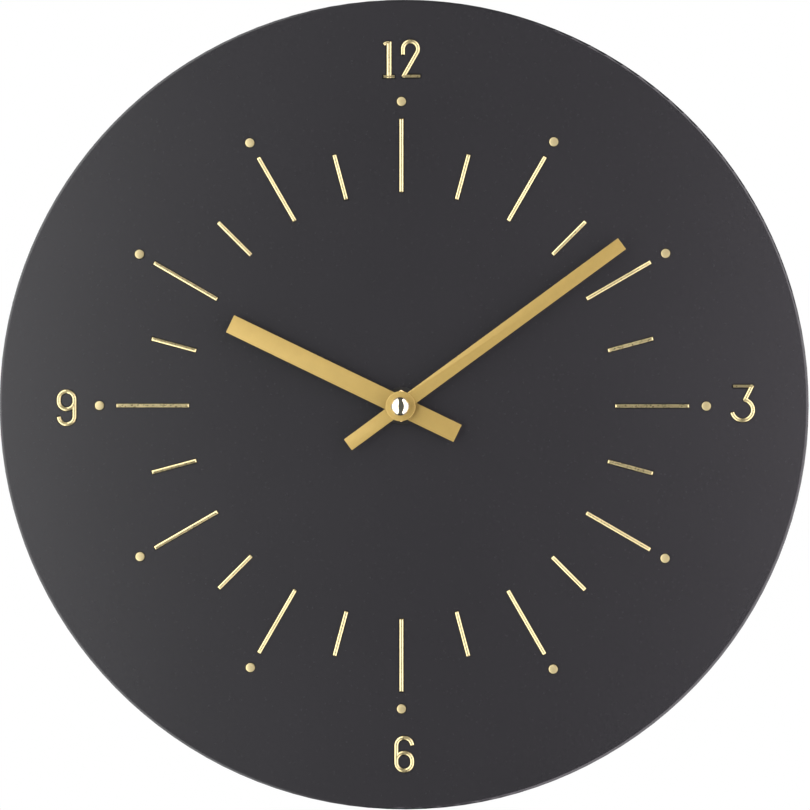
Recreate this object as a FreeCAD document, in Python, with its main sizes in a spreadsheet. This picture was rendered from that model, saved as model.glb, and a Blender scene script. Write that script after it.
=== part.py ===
# Round battery wall clock: a lacquered board dial with brass inlays, two flat hands and a
# quartz movement let into the back.  Millimetres, +Z up.
#
# The origin is on the dial's axis, in the plane of the wall.  The dial faces -Y, so a place on
# the clock is given as the owner sees it: x to the right, y up, and level, which is the height
# above the wall.  Part of the gear train turns with the seconds wheel, part with the minute hand.
import FreeCAD, Part
import math
import os
import Sketcher
from FreeCAD import Placement, Rotation, Vector

DIMENSIONS = """
dial_diameter 300 dial board, outside
dial_thickness 20 dial board, wall to face
dial_edge_radius 1.0 rounding of the front edge
dial_back_chamfer 1.0 chamfer of the back edge
web_thickness 3.0 board left in front of the movement
pocket_clearance 0.6 board round the movement, each side
pocket_corner_radius 4.0 left by the router
bush_hole_clearance 0.2 board round the threaded bush
bar_width 1.3 brass bars, across
bar_start_radius 79 inner end of every bar
hour_bar_length 27 bars at the hours
half_hour_bar_length 17 bars between the hours
dot_ring_radius 112.4 circle of the dots
dot_diameter 3.3 brass dots
inlay_depth 1.2 brass let into the board
inlay_stand 0.45 brass standing above the face
inlay_edge_radius 0.4 rounding of the brass, on top
inlay_gap 0.35 board round each inlay
numeral_height 12.8 centre line of the two, top to bottom
three_height 12.6 centre line of the three, top to bottom
round_height 12.2 centre line of the six and the nine, top to bottom
numeral_width 5.9 centre line of a round numeral, across
numeral_stroke 1.3 width of a numeral's line
stem_stroke 1.6 width of the stem of the one
numeral_12_up 128.15 centre of the 12 above the axis
numeral_3_right 125.9 centre of the 3 right of the axis
numeral_3_up 1.0 centre of the 3 above the axis
numeral_6_down 129.25 centre of the 6 below the axis
numeral_6_right 1.05 centre of the 6 right of the axis
numeral_9_left 124.7 centre of the 9 left of the axis
numeral_9_down 0.85 centre of the 9 below the axis
gasket_thickness 0.6 rubber pad between board and movement
gasket_size 40 rubber pad, square
movement_size 56 movement case, square
movement_depth 16 movement case, front to back
case_wall 1.0 walls of the case
case_corner_radius 3.4 outside corners of the case
post_diameter 3.2 posts inside the case
pillar_diameter 2.6 pillars between the plates
cover_thickness 1.0 rear cover
cover_clearance 0.1 rear cover in the case
bush_diameter 8.0 threaded bush, outside
bush_stand 3.4 threaded bush above the face
bush_flange_diameter 11 flange inside the case
bush_flange_thickness 0.4 flange inside the case
washer_diameter 14 washer under the nut
washer_thickness 0.5 washer under the nut
nut_wall 1.1 nut that clamps the dial, outside the bush at its flats
nut_thickness 2.2 nut that clamps the dial
seconds_shaft_diameter 0.9 innermost shaft
minute_pipe_diameter 3.5 middle shaft
minute_thread_diameter 3.0 threaded end of the middle shaft
hour_pipe_diameter 5.0 outer shaft
running_clearance 0.09 each shaft in the next, on the radius
hour_pipe_stand 5.6 hour pipe above the face
minute_shoulder_stand 6.6 seat of the minute hand above the face
minute_thread_length 2.9 threaded end of the middle shaft
hand_thickness 0.6 sheet of both hands
hand_edge_chamfer 0.12 bevel along the edges of the hands
hour_hand_width 7.0 hour hand
hour_hand_length 70 axis to tip
hour_hand_tail 23.2 axis to the other end
hour_hub_diameter 10.0 disc in the middle of the hour hand
hour_hand_turn 295.7 clockwise from upright, degrees
minute_hand_width 5.0 minute hand
minute_hand_length 100.6 axis to tip
minute_hand_tail 24.1 axis to the other end
minute_hand_turn 53.7 clockwise from upright, degrees
hub_diameter 11.0 raised disc on the minute hand
hub_thickness 0.5 raised disc on the minute hand
hub_neck_diameter 4.6 riveted necks under both hands
collet_flange_diameter 8.6 flange under the hour hand
collet_flange_thickness 0.6 flange under the hour hand
cap_nut_diameter 6.7 domed nut
cap_nut_skirt 3.2 straight part of the domed nut
cap_nut_dome 2.0 height of the dome above the straight part
cap_nut_bore_depth 3.4 thread inside the domed nut
train_module 0.3 gears of the seconds train
motor_module 0.2 gears at the rotor
motion_module 0.4 gears that drive the hands
wheel_thickness 0.7 every wheel
plate_thickness 1.0 middle and rear plates
air_gap 0.4 between turning parts and still ones
end_play 0.2 along the shafts
backlash 0.1 each gear pair, along the pitch circle
arbor_diameter 1.2 steel arbors of the wheels
pivot_diameter 0.8 ends of the arbors
gear_room_reach 11.0 gear room below the axis
rotor_magnet_diameter 6.0 rotor magnet
rotor_magnet_length 3.0 rotor magnet
stator_thickness 1.0 iron plates
stator_bore_diameter 7.0 round the magnet
coil_length 17.0 bobbin with its flanges
coil_diameter 7.8 winding
coil_tube_diameter 5.8 bobbin under the winding
coil_flange_diameter 8.6 bobbin flanges
coil_flange_thickness 0.8 bobbin flanges
core_width 4.0 iron strip through the coil
board_width 7.0 circuit board
board_length 24.4 circuit board
board_thickness 0.8 circuit board
board_foot 0.6 circuit board above the battery bay's roof
chip_sphere_radius 4 sphere that the chip's drop of resin is cut from
chip_sink 3 centre of that sphere behind the board's face
crystal_diameter 2 quartz crystal's can
crystal_length 6 quartz crystal's can
crystal_up 3 quartz crystal above the board's lower end
crystal_inset 2 quartz crystal from the board's right edge
contact_thickness 0.4 battery contacts
contact_width 12.0 battery contacts
contact_strip_width 2.0 strips from the contacts to the circuit board
contact_strip_gap 0.95 strips below the circuit board
contact_tab_width 1.0 tabs that touch the circuit board
contact_tab_height 1.5 tabs that touch the circuit board
contact_tab_inset 0.4 tabs from the board's right edge
contact_leaf_reach 4.0 half the height of the sprung leaf
contact_leaf_foot 0.8 width of the leaf's feet
battery_diameter 14.5 AA cell
battery_length 50.5 AA cell with its nub
battery_nub_diameter 5.5 AA cell
battery_nub_length 1.0 AA cell
battery_jacket 0.15 printed sleeve of the cell
battery_clearance 0.25 round the cell
knob_diameter 10.0 setting knob
knob_thickness 1.6 setting knob
knob_shaft_diameter 3.0 setting knob
knob_grips 20 ribs round the knob
hanger_up 95 centre of the hanger above the axis
hanger_length 50 steel plate
hanger_height 20 steel plate
hanger_thickness 1.2 steel plate
hanger_screw_spacing 38 screws of the plate
keyhole_head_diameter 9.0 round part of the keyhole
keyhole_slot_width 4.0 narrow part of the keyhole
keyhole_slot_length 8.0 centre of the round part to the end of the slot
keyhole_room_depth 9.0 room for the wall screw's head
screw_head_diameter 6.6 countersunk wood screws
screw_shank_diameter 3.0 countersunk wood screws
screw_length 12 countersunk wood screws
"""

# The clock's wheels, by their numbers of teeth.
ROTOR_TEETH = 12
INTERMEDIATE_TEETH = 60
INTERMEDIATE_PINION_TEETH = 10
SECONDS_TEETH = 60
SECONDS_PINION_TEETH = 8
THIRD_TEETH = 60
THIRD_PINION_TEETH = 8
CENTRE_TEETH = 64
CANNON_TEETH = 15
MINUTE_WHEEL_TEETH = 45
MINUTE_PINION_TEETH = 12
HOUR_WHEEL_TEETH = 48
KNOB_TEETH = 15

PRESSURE_ANGLE = math.radians(20)
ADDENDUM = 0.9
DEDENDUM = 1.25
HOURS = 12

doc = FreeCAD.newDocument("wall_clock")
sheet = doc.addObject("Spreadsheet::Sheet", "dims")
parts = []


def fill_sheet():
    for row, line in enumerate(DIMENSIONS.strip().splitlines(), 1):
        alias, value, note = line.split(" ", 2)
        sheet.set(f"A{row}", alias)
        sheet.set(f"B{row}", value)
        sheet.set(f"C{row}", note)
        sheet.setAlias(f"B{row}", alias)
    doc.recompute()


fill_sheet()


def worth(expression):
    """The number that an expression in the sheet's names has now."""
    return float(sheet.evalExpression(expression))


# ---------------------------------------------------------------- levels above the wall
FACE = "dims.dial_thickness"
POCKET = f"({FACE} - dims.web_thickness)"
CASE_FRONT = f"({POCKET} - dims.gasket_thickness)"
CASE_REAR = f"({CASE_FRONT} - dims.movement_depth)"
ROOM_FRONT = f"({CASE_FRONT} - dims.case_wall)"
COVER_INSIDE = f"({CASE_REAR} + dims.cover_thickness)"

HOUR_TOP = f"({ROOM_FRONT} - dims.bush_flange_thickness - dims.end_play)"
HOUR_LOW = f"({HOUR_TOP} - dims.wheel_thickness)"
MINUTE_TOP = f"({HOUR_LOW} - 2.5 * dims.air_gap)"
MINUTE_LOW = f"({MINUTE_TOP} - dims.wheel_thickness)"
PLATE_TOP = f"({MINUTE_LOW} - dims.air_gap)"
PLATE_LOW = f"({PLATE_TOP} - dims.plate_thickness)"
CENTRE_TOP = f"({PLATE_LOW} - dims.end_play)"
CENTRE_LOW = f"({CENTRE_TOP} - dims.wheel_thickness)"
SPRING_LOW = f"({CENTRE_LOW} - dims.air_gap)"
RETAINER_LOW = f"({SPRING_LOW} - dims.air_gap)"
THIRD_TOP = f"({RETAINER_LOW} - dims.air_gap)"
THIRD_LOW = f"({THIRD_TOP} - dims.wheel_thickness)"
SECONDS_TOP = f"({THIRD_LOW} - 4 * dims.air_gap)"
SECONDS_LOW = f"({SECONDS_TOP} - dims.wheel_thickness)"
INTERMEDIATE_TOP = f"({SECONDS_LOW} - 2.5 * dims.air_gap)"
INTERMEDIATE_LOW = f"({INTERMEDIATE_TOP} - dims.wheel_thickness)"
REAR_TOP = f"({INTERMEDIATE_LOW} - 2 * dims.air_gap)"
REAR_LOW = f"({REAR_TOP} - dims.plate_thickness)"
STATOR_LOW = f"({SECONDS_TOP} + dims.end_play)"
STATOR_TOP = f"({STATOR_LOW} + dims.stator_thickness)"
CORE_TOP = f"({STATOR_TOP} + dims.stator_thickness)"
BOARD_TOP = f"({PLATE_LOW} - 3 * dims.air_gap)"
BOARD_LOW = f"({BOARD_TOP} - dims.board_thickness)"

BATTERY_LEVEL = f"({ROOM_FRONT} - dims.end_play / 2 - dims.battery_diameter / 2)"

HOUR_PIPE_TOP = f"({FACE} + dims.hour_pipe_stand)"
HOUR_HAND_LOW = f"({HOUR_PIPE_TOP} - dims.hand_thickness - dims.air_gap)"
MINUTE_HAND_LOW = f"({FACE} + dims.minute_shoulder_stand)"
HUB_LOW = f"({MINUTE_HAND_LOW} + dims.hand_thickness)"
CAP_LOW = f"({HUB_LOW} + dims.hub_thickness)"

# ---------------------------------------------------------------- places across the dial
ROOM_HALF = "(dims.movement_size / 2 - dims.case_wall)"
BAY_TOP = "(-dims.gear_room_reach - dims.case_wall)"
BAY_LOW = f"({BAY_TOP} - dims.battery_diameter - 2 * dims.battery_clearance)"
BATTERY_UP = f"(({BAY_TOP} + {BAY_LOW}) / 2)"
BATTERY_END = f"({ROOM_HALF} - dims.contact_thickness - dims.end_play / 2)"
HANGER_SCREWS = ("(-dims.hanger_screw_spacing / 2)", "(dims.hanger_screw_spacing / 2)")
KEYHOLE_UP = "(dims.hanger_up - dims.keyhole_slot_length / 2)"


def polar(distance, degrees, start=("0", "0")):
    """A place at a distance and direction (anticlockwise from the right) from another place."""
    across = math.cos(math.radians(degrees))
    up = math.sin(math.radians(degrees))
    return (f"({start[0]} + ({distance}) * {across:.6f})", f"({start[1]} + ({distance}) * {up:.6f})")


def centre_distance(module, teeth, pinion_teeth):
    return f"({module} * {(teeth + pinion_teeth) / 2})"


CENTRE = ("0", "0")
SECONDS_DISTANCE = centre_distance("dims.train_module", SECONDS_TEETH, INTERMEDIATE_PINION_TEETH)
MOTOR_DISTANCE = centre_distance("dims.motor_module", INTERMEDIATE_TEETH, ROTOR_TEETH)
THIRD_DISTANCE = centre_distance("dims.train_module", THIRD_TEETH, SECONDS_PINION_TEETH)
MOTION_DISTANCE = centre_distance("dims.motion_module", MINUTE_WHEEL_TEETH, CANNON_TEETH)

INTERMEDIATE_TURN = 120
MOTOR_TURN = 170
MINUTE_WHEEL_TURN = 45
INTERMEDIATE_AXIS = polar(SECONDS_DISTANCE, INTERMEDIATE_TURN)
ROTOR_AXIS = polar(MOTOR_DISTANCE, MOTOR_TURN, INTERMEDIATE_AXIS)
THIRD_AXIS = (THIRD_DISTANCE, "0")
MINUTE_WHEEL_AXIS = polar(MOTION_DISTANCE, MINUTE_WHEEL_TURN)
KNOB_AXIS = polar(f"2 * {MOTION_DISTANCE}", MINUTE_WHEEL_TURN)

PLATE_LEFT = f"({ROTOR_AXIS[0]} - 5.5)"
PLATE_RIGHT = f"({THIRD_AXIS[0]} + 14.1)"
PLATE_BOTTOM = "(-dims.gear_room_reach + dims.air_gap)"
PLATE_UP = f"({ROTOR_AXIS[1]} + 3.7)"
PILLARS = (
    (f"({PLATE_LEFT} + 1.8)", f"({PLATE_BOTTOM} + 1.8)"),
    (f"({PLATE_LEFT} + 1.8)", f"({ROTOR_AXIS[1]} - 6.8)"),
    (f"({PLATE_RIGHT} - 2)", f"({PLATE_BOTTOM} + 1.8)"),
    (f"({PLATE_RIGHT} - 2)", "5"),
)


# ---------------------------------------------------------------- helpers
def place(item, at=CENTRE, level="0", turn="0"):
    """Stand a piece drawn flat, face up, on the wall: its own +Z becomes the clock's front."""
    item.setExpression("Placement", (
        f"placement(vector({at[0]}; -({level}); {at[1]}); "
        f"rotation(vector(1; 0; 0); 90) * rotation(vector(0; 0; 1); {turn}))"))


def keep(item, label):
    """Name a finished sub-part, so that it is checked and written."""
    item.Label = label
    parts.append(item)
    return item


def cylinder(diameter, low, high, at=CENTRE):
    item = doc.addObject("Part::Cylinder", "cylinder")
    item.setExpression("Radius", f"({diameter}) / 2")
    item.setExpression("Height", f"({high}) - ({low})")
    place(item, at, low)
    return item


def block(left, right, bottom, top, low, high):
    item = doc.addObject("Part::Box", "block")
    item.setExpression("Length", f"({right}) - ({left})")
    item.setExpression("Width", f"({top}) - ({bottom})")
    item.setExpression("Height", f"({high}) - ({low})")
    place(item, (left, bottom), low)
    return item


def rod_across(diameter, left, right, up, level):
    """A cylinder that lies across the clock, from left to right."""
    item = doc.addObject("Part::Cylinder", "rod")
    item.setExpression("Radius", f"({diameter}) / 2")
    item.setExpression("Height", f"({right}) - ({left})")
    item.setExpression("Placement", (
        f"placement(vector({left}; -({level}); {up}); rotation(vector(0; 1; 0); 90))"))
    return item


def fused(items):
    if len(items) == 1:
        return items[0]
    item = doc.addObject("Part::MultiFuse", "joined")
    item.Shapes = items
    return item


def cut(base, tools):
    item = doc.addObject("Part::Cut", "cut")
    item.Base = fused(base)
    item.Tool = fused(tools)
    return item


def grouped(items):
    """Separate solids of one kind, kept together as one sub-part."""
    item = doc.addObject("Part::Compound", "group")
    item.Links = items
    return item


def new_body(label):
    body = doc.addObject("PartDesign::Body", label)
    body.Label = label
    return body


def new_sketch(body, plane="XY_Plane"):
    sketch = body.newObject("Sketcher::SketchObject", "outline")
    origin_plane = [item for item in body.Origin.OriginFeatures if item.Role == plane][0]
    sketch.AttachmentSupport = (origin_plane, [""])
    sketch.MapMode = "FlatFace"
    return sketch


def fix_point(sketch, edge, end, x, y):
    for kind, expression in (("DistanceX", x), ("DistanceY", y)):
        number = worth(expression)
        index = sketch.addConstraint(Sketcher.Constraint(kind, -1, 1, edge, end, number))
        sketch.setExpression(f"Constraints[{index}]", expression)


def draw_polygon(sketch, corners):
    """Straight edges from corner to corner, each corner bound to its two expressions."""
    first = sketch.GeometryCount
    spots = [Vector(worth(x), worth(y), 0) for x, y in corners]
    for number, spot in enumerate(spots):
        sketch.addGeometry(Part.LineSegment(spot, spots[(number + 1) % len(spots)]), False)
    for number, (x, y) in enumerate(corners):
        after = first + (number + 1) % len(corners)
        sketch.addConstraint(Sketcher.Constraint("Coincident", first + number, 2, after, 1))
        fix_point(sketch, first + number, 1, x, y)


def rectangle(left, right, bottom, top):
    return ((left, bottom), (right, bottom), (right, top), (left, top))


def draw_circle(sketch, diameter, at=CENTRE):
    centre = Vector(worth(at[0]), worth(at[1]), 0)
    edge = sketch.addGeometry(Part.Circle(centre, Vector(0, 0, 1), worth(diameter) / 2), False)
    index = sketch.addConstraint(Sketcher.Constraint("Diameter", edge, worth(diameter)))
    sketch.setExpression(f"Constraints[{index}]", diameter)
    fix_point(sketch, edge, 3, *at)


def pad(body, draw, height, start="0"):
    """Draw with the given function on the body's base plane and raise it."""
    sketch = new_sketch(body)
    sketch.setExpression("AttachmentOffset", f"placement(vector(0; 0; {start}); rotation(0; 0; 0))")
    draw(sketch)
    feature = body.newObject("PartDesign::Pad", "pad")
    feature.Profile = (sketch, [""])
    feature.setExpression("Length", height)
    doc.recompute()
    return feature


def pocket(body, draw, start, depth, toward_front=False):
    """Sink a drawing into the body from a level: down from it, or up from it."""
    before = body.Shape.Volume
    sketch = new_sketch(body)
    sketch.setExpression("AttachmentOffset", f"placement(vector(0; 0; {start}); rotation(0; 0; 0))")
    draw(sketch)
    feature = body.newObject("PartDesign::Pocket", "pocket")
    feature.Profile = (sketch, [""])
    feature.setExpression("Length", depth)
    feature.Reversed = toward_front
    doc.recompute()
    if not body.Shape.Volume < before:
        raise RuntimeError(f"{body.Label}: a pocket cuts nothing")
    return feature


def edges_where(shape, test):
    return [f"Edge{number}" for number, edge in enumerate(shape.Edges, 1) if test(edge)]


def lies_at(level):
    """A test for edges that lie flat at one height of the piece's own frame."""
    height = worth(level)
    return lambda edge: (abs(edge.BoundBox.ZMin - height) < 1e-4
                         and abs(edge.BoundBox.ZMax - height) < 1e-4)


def stands(edge):
    box = edge.BoundBox
    return box.XLength < 1e-4 and box.YLength < 1e-4


def soften(body, kind, size, test):
    """A Fillet or Chamfer of the body's edges that pass a test."""
    base = body.Tip
    feature = body.newObject(f"PartDesign::{kind}", kind.lower())
    feature.Base = (base, edges_where(base.Shape, test))
    feature.setExpression("Radius" if kind == "Fillet" else "Size", size)
    doc.recompute()
    return feature


def round_about(body, features, count):
    """Repeat features evenly round the body's own Z axis."""
    pattern = body.newObject("PartDesign::PolarPattern", "pattern")
    pattern.Originals = features
    axis = [item for item in body.Origin.OriginFeatures if item.Role == "Z_Axis"][0]
    pattern.Axis = (axis, [""])
    pattern.Angle = 360
    pattern.Occurrences = count
    body.Tip = pattern
    doc.recompute()
    return pattern


def solid_part(label, shape, at=CENTRE, level="0", turn="0"):
    item = doc.addObject("Part::Feature", label)
    item.Shape = shape
    place(item, at, level, turn)
    doc.recompute()
    return keep(item, label)


# ---------------------------------------------------------------- gears
def involute(angle):
    return math.tan(angle) - angle


def undercut_shift(teeth):
    """The profile shift that a small pinion needs so that its roots aren't undercut."""
    return max(0.0, 1 - teeth * math.sin(PRESSURE_ANGLE) ** 2 / 2)


def gear_face(module, teeth, shift, phase):
    """Outline of an involute gear; phase is the direction of one tooth, in radians."""
    pitch_radius = module * teeth / 2
    base_radius = pitch_radius * math.cos(PRESSURE_ANGLE)
    tip_radius = pitch_radius + module * (ADDENDUM + shift)
    root_radius = pitch_radius - module * (DEDENDUM - shift)
    half_tooth = ((math.pi / 2 + 2 * shift * math.tan(PRESSURE_ANGLE)) / teeth
                  - worth("dims.backlash") / 4 / pitch_radius)

    def spot(radius, angle):
        return Vector(radius * math.cos(angle), radius * math.sin(angle), 0)

    def flank_angle(radius):
        pressure = math.acos(min(1.0, base_radius / radius))
        return half_tooth + involute(PRESSURE_ANGLE) - involute(pressure)

    start_radius = max(root_radius, base_radius)
    middle_radius = (start_radius + tip_radius) / 2
    edges = []
    for tooth in range(teeth):
        middle = phase + tooth * 2 * math.pi / teeth
        following = middle + math.pi / teeth
        rising = [spot(radius, middle - flank_angle(radius))
                  for radius in (start_radius, middle_radius, tip_radius)]
        falling = [spot(radius, middle + flank_angle(radius))
                   for radius in (tip_radius, middle_radius, start_radius)]
        foot = spot(root_radius, middle - flank_angle(start_radius))
        other_foot = spot(root_radius, middle + flank_angle(start_radius))
        next_foot = spot(root_radius, middle + 2 * math.pi / teeth - flank_angle(start_radius))
        if start_radius > root_radius:
            edges.append(Part.makeLine(foot, rising[0]))
        edges.append(Part.Arc(*rising).toShape())
        edges.append(Part.Arc(rising[2], spot(tip_radius, middle), falling[0]).toShape())
        edges.append(Part.Arc(*falling).toShape())
        if start_radius > root_radius:
            edges.append(Part.makeLine(falling[2], other_foot))
        edges.append(Part.Arc(other_foot, spot(root_radius, following), next_foot).toShape())
    return Part.Face(Part.Wire(edges))


def gear(module, teeth, low, high, phase=0.0, shift=0.0):
    """A gear between two levels, in its own frame."""
    face = gear_face(worth(module), teeth, shift, phase)
    face.translate(Vector(0, 0, worth(low)))
    return face.extrude(Vector(0, 0, worth(high) - worth(low)))


def rod(diameter, low, high):
    """A cylinder between two levels, in its own frame."""
    base = Vector(0, 0, worth(low))
    return Part.makeCylinder(worth(diameter) / 2, worth(high) - worth(low), base)


def meshed_phase(driver_phase, driver_teeth, teeth, direction):
    """Phase of a gear whose gap meets a tooth of the driver, lying in a direction from it."""
    angle = math.radians(direction)
    lead = driver_teeth * (angle - driver_phase)
    return angle + math.pi - (math.pi - lead) / teeth


def merge(pieces, holes=()):
    shape = pieces[0].multiFuse(pieces[1:]) if len(pieces) > 1 else pieces[0]
    if holes:
        shape = shape.cut(Part.makeCompound(list(holes)))
    return shape.removeSplitter()


# ---------------------------------------------------------------- dial and inlays
def bar_corners(length, grow="0"):
    half = f"(dims.bar_width / 2 + {grow})"
    return rectangle(f"-{half}", half, f"(dims.bar_start_radius - {grow})",
                     f"(dims.bar_start_radius + {length} + {grow})")


BAR_KINDS = (
    ("hour_bars", "dims.hour_bar_length", "0"),
    ("half_hour_bars", "dims.half_hour_bar_length", f"{180 / HOURS}"),
)


def make_bars():
    for label, length, turn in BAR_KINDS:
        body = new_body(label)
        bar = pad(body, lambda sketch: draw_polygon(sketch, bar_corners(length)),
                  "dims.inlay_depth + dims.inlay_stand")
        edge = soften(body, "Fillet", "dims.inlay_edge_radius",
                      lies_at("dims.inlay_depth + dims.inlay_stand"))
        round_about(body, [bar, edge], HOURS)
        place(body, CENTRE, f"{FACE} - dims.inlay_depth", turn)
        keep(body, label)


def make_dots():
    body = new_body("hour_dots")
    dot = pad(body, lambda sketch: draw_circle(sketch, "dims.dot_diameter", ("0", "dims.dot_ring_radius")),
              "dims.inlay_depth + dims.inlay_stand")
    edge = soften(body, "Fillet", "dims.inlay_edge_radius",
                  lies_at("dims.inlay_depth + dims.inlay_stand"))
    round_about(body, [dot, edge], HOURS)
    place(body, CENTRE, f"{FACE} - dims.inlay_depth")
    keep(body, "hour_dots")


def line(*spots):
    """Straight strokes from spot to spot, as one wire."""
    return Part.makePolygon([Vector(x, y, 0) for x, y in spots])


def widened(wire, half):
    """The flat face that a stroke covers: half on each side of its middle line."""
    if len(wire.Edges) > 1 or wire.Edges[0].Curve.TypeId != "Part::GeomLine":
        return wire.makeOffset2D(half, 0, True, False, False)
    start, end = [corner.Point for corner in wire.Edges[0].Vertexes]
    along = (end - start).normalize() * half
    side = Vector(-along.y, along.x, 0)
    corners = [start - along + side, start - along - side, end + along - side, end + along + side]
    return Part.Face(Part.makePolygon(corners + corners[:1]))


def arc(centre, radius, start, end):
    """An arc about a centre, from one direction to another in degrees, clockwise if end < start."""
    angles = [math.radians(start + (end - start) * share) for share in (0, 0.5, 1)]
    return Part.Arc(*[Vector(centre[0] + radius * math.cos(angle),
                             centre[1] + radius * math.sin(angle), 0) for angle in angles]).toShape()


def one_strokes(top, middle):
    """Stem, flag and foot of the figure one, whose stem stands at x = middle."""
    stroke = worth("dims.numeral_stroke")
    thin = stroke * 0.75
    flag_radius = top * 0.3
    flag = arc((middle - flag_radius * 0.2, top - flag_radius - thin / 2), flag_radius, 80, 130)
    foot_half = top * 0.25
    foot_low = -top - (stroke - thin) / 2
    return (
        (line((middle, -top + stroke / 2), (middle, top - stroke * 0.65)), worth("dims.stem_stroke")),
        (Part.Wire([flag]), thin),
        (line((middle - foot_half, foot_low), (middle + foot_half, foot_low)), thin),
    )


def two_strokes(top, left, width):
    """Arch, diagonal and base of the figure two, as one line."""
    radius = width / 2
    centre = (left + radius, top - radius)
    down = -30
    arch = arc(centre, radius, 180, down)
    start = line((left, centre[1] - radius * 0.6), (left, centre[1])).Edges[0]
    base_left = left + 0.2
    diagonal = line(end_of_arc(centre, radius, down), (base_left, -top)).Edges[0]
    base = line((base_left, -top), (left + width * 1.08, -top)).Edges[0]
    return ((Part.Wire([start, arch, diagonal, base]), worth("dims.numeral_stroke")),)


def end_of_arc(centre, radius, degrees):
    angle = math.radians(degrees)
    return centre[0] + radius * math.cos(angle), centre[1] + radius * math.sin(angle)


def three_strokes(top, width):
    """Flat top, diagonal and bowl of the figure three."""
    radius = top * 0.61
    centre = (-width * 0.05, -top + radius)
    waist = end_of_arc(centre, radius, 76)
    bar = line((-width * 0.56, top), (width * 0.53, top), waist).Edges
    bowl = arc(centre, radius, 76, -160)
    return ((Part.Wire(bar + [bowl]), worth("dims.numeral_stroke")),)


def six_strokes(top, width):
    """Hooked stem and oval bowl of the figure six, as two lines."""
    radius = width / 2
    lower = (0, -top + radius)
    upper = (0, lower[1] + width * 0.12)
    hook = arc((0, top - radius), radius, 12, 180)
    stem = line((-radius, top - radius), (-radius, lower[1])).Edges[0]
    base = arc(lower, radius, 180, 360)
    side = line((radius, lower[1]), (radius, upper[1])).Edges[0]
    shoulder = arc(upper, radius, 0, 165)
    stroke = worth("dims.numeral_stroke")
    return ((Part.Wire([hook, stem, base]), stroke), (Part.Wire([side, shoulder]), stroke))


def numeral_shape(strokes, grow, height, rounding=0):
    """Strokes widened by grow on each side and raised, with their top edges rounded."""
    solids = []
    for wire, width in strokes:
        solid = widened(wire, width / 2 + grow).extrude(Vector(0, 0, height)).Solids[0]
        if rounding:
            rim = [edge for edge in solid.Edges if edge.BoundBox.ZMin > height - 1e-4]
            solid = solid.makeFillet(min(rounding, width * 0.4), rim)
        solids.append(solid)
    return merge(solids)


def numerals():
    top = worth("dims.numeral_height") / 2
    round_top = worth("dims.round_height") / 2
    width = worth("dims.numeral_width")
    nine = []
    for wire, stroke in six_strokes(round_top, width):
        turned = wire.copy()
        turned.rotate(Vector(0, 0, 0), Vector(0, 0, 1), 180)
        nine.append((turned, stroke))
    return (
        ("numeral_12_one", one_strokes(top, -width * 0.79), ("0", "dims.numeral_12_up")),
        ("numeral_12_two", two_strokes(top, width * 0.075, width * 0.94), ("0", "dims.numeral_12_up")),
        ("numeral_3", three_strokes(worth("dims.three_height") / 2, width),
         ("dims.numeral_3_right", "dims.numeral_3_up")),
        ("numeral_6", six_strokes(round_top, width), ("dims.numeral_6_right", "-dims.numeral_6_down")),
        ("numeral_9", nine, ("-dims.numeral_9_left", "-dims.numeral_9_down")),
    )


def make_numerals():
    """The brass numerals, and the grooves that hold them."""
    grooves = []
    stand = worth("dims.inlay_stand")
    for label, strokes, at in numerals():
        height = worth("dims.inlay_depth") + stand
        shape = numeral_shape(strokes, 0, height, worth("dims.inlay_edge_radius"))
        solid_part(label, shape, at, f"{FACE} - dims.inlay_depth")
        groove = doc.addObject("Part::Feature", "groove")
        groove.Shape = numeral_shape(strokes, worth("dims.inlay_gap"), height)
        place(groove, at, f"{FACE} - dims.inlay_depth")
        grooves.append(groove)
    doc.recompute()
    return grooves


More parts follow.
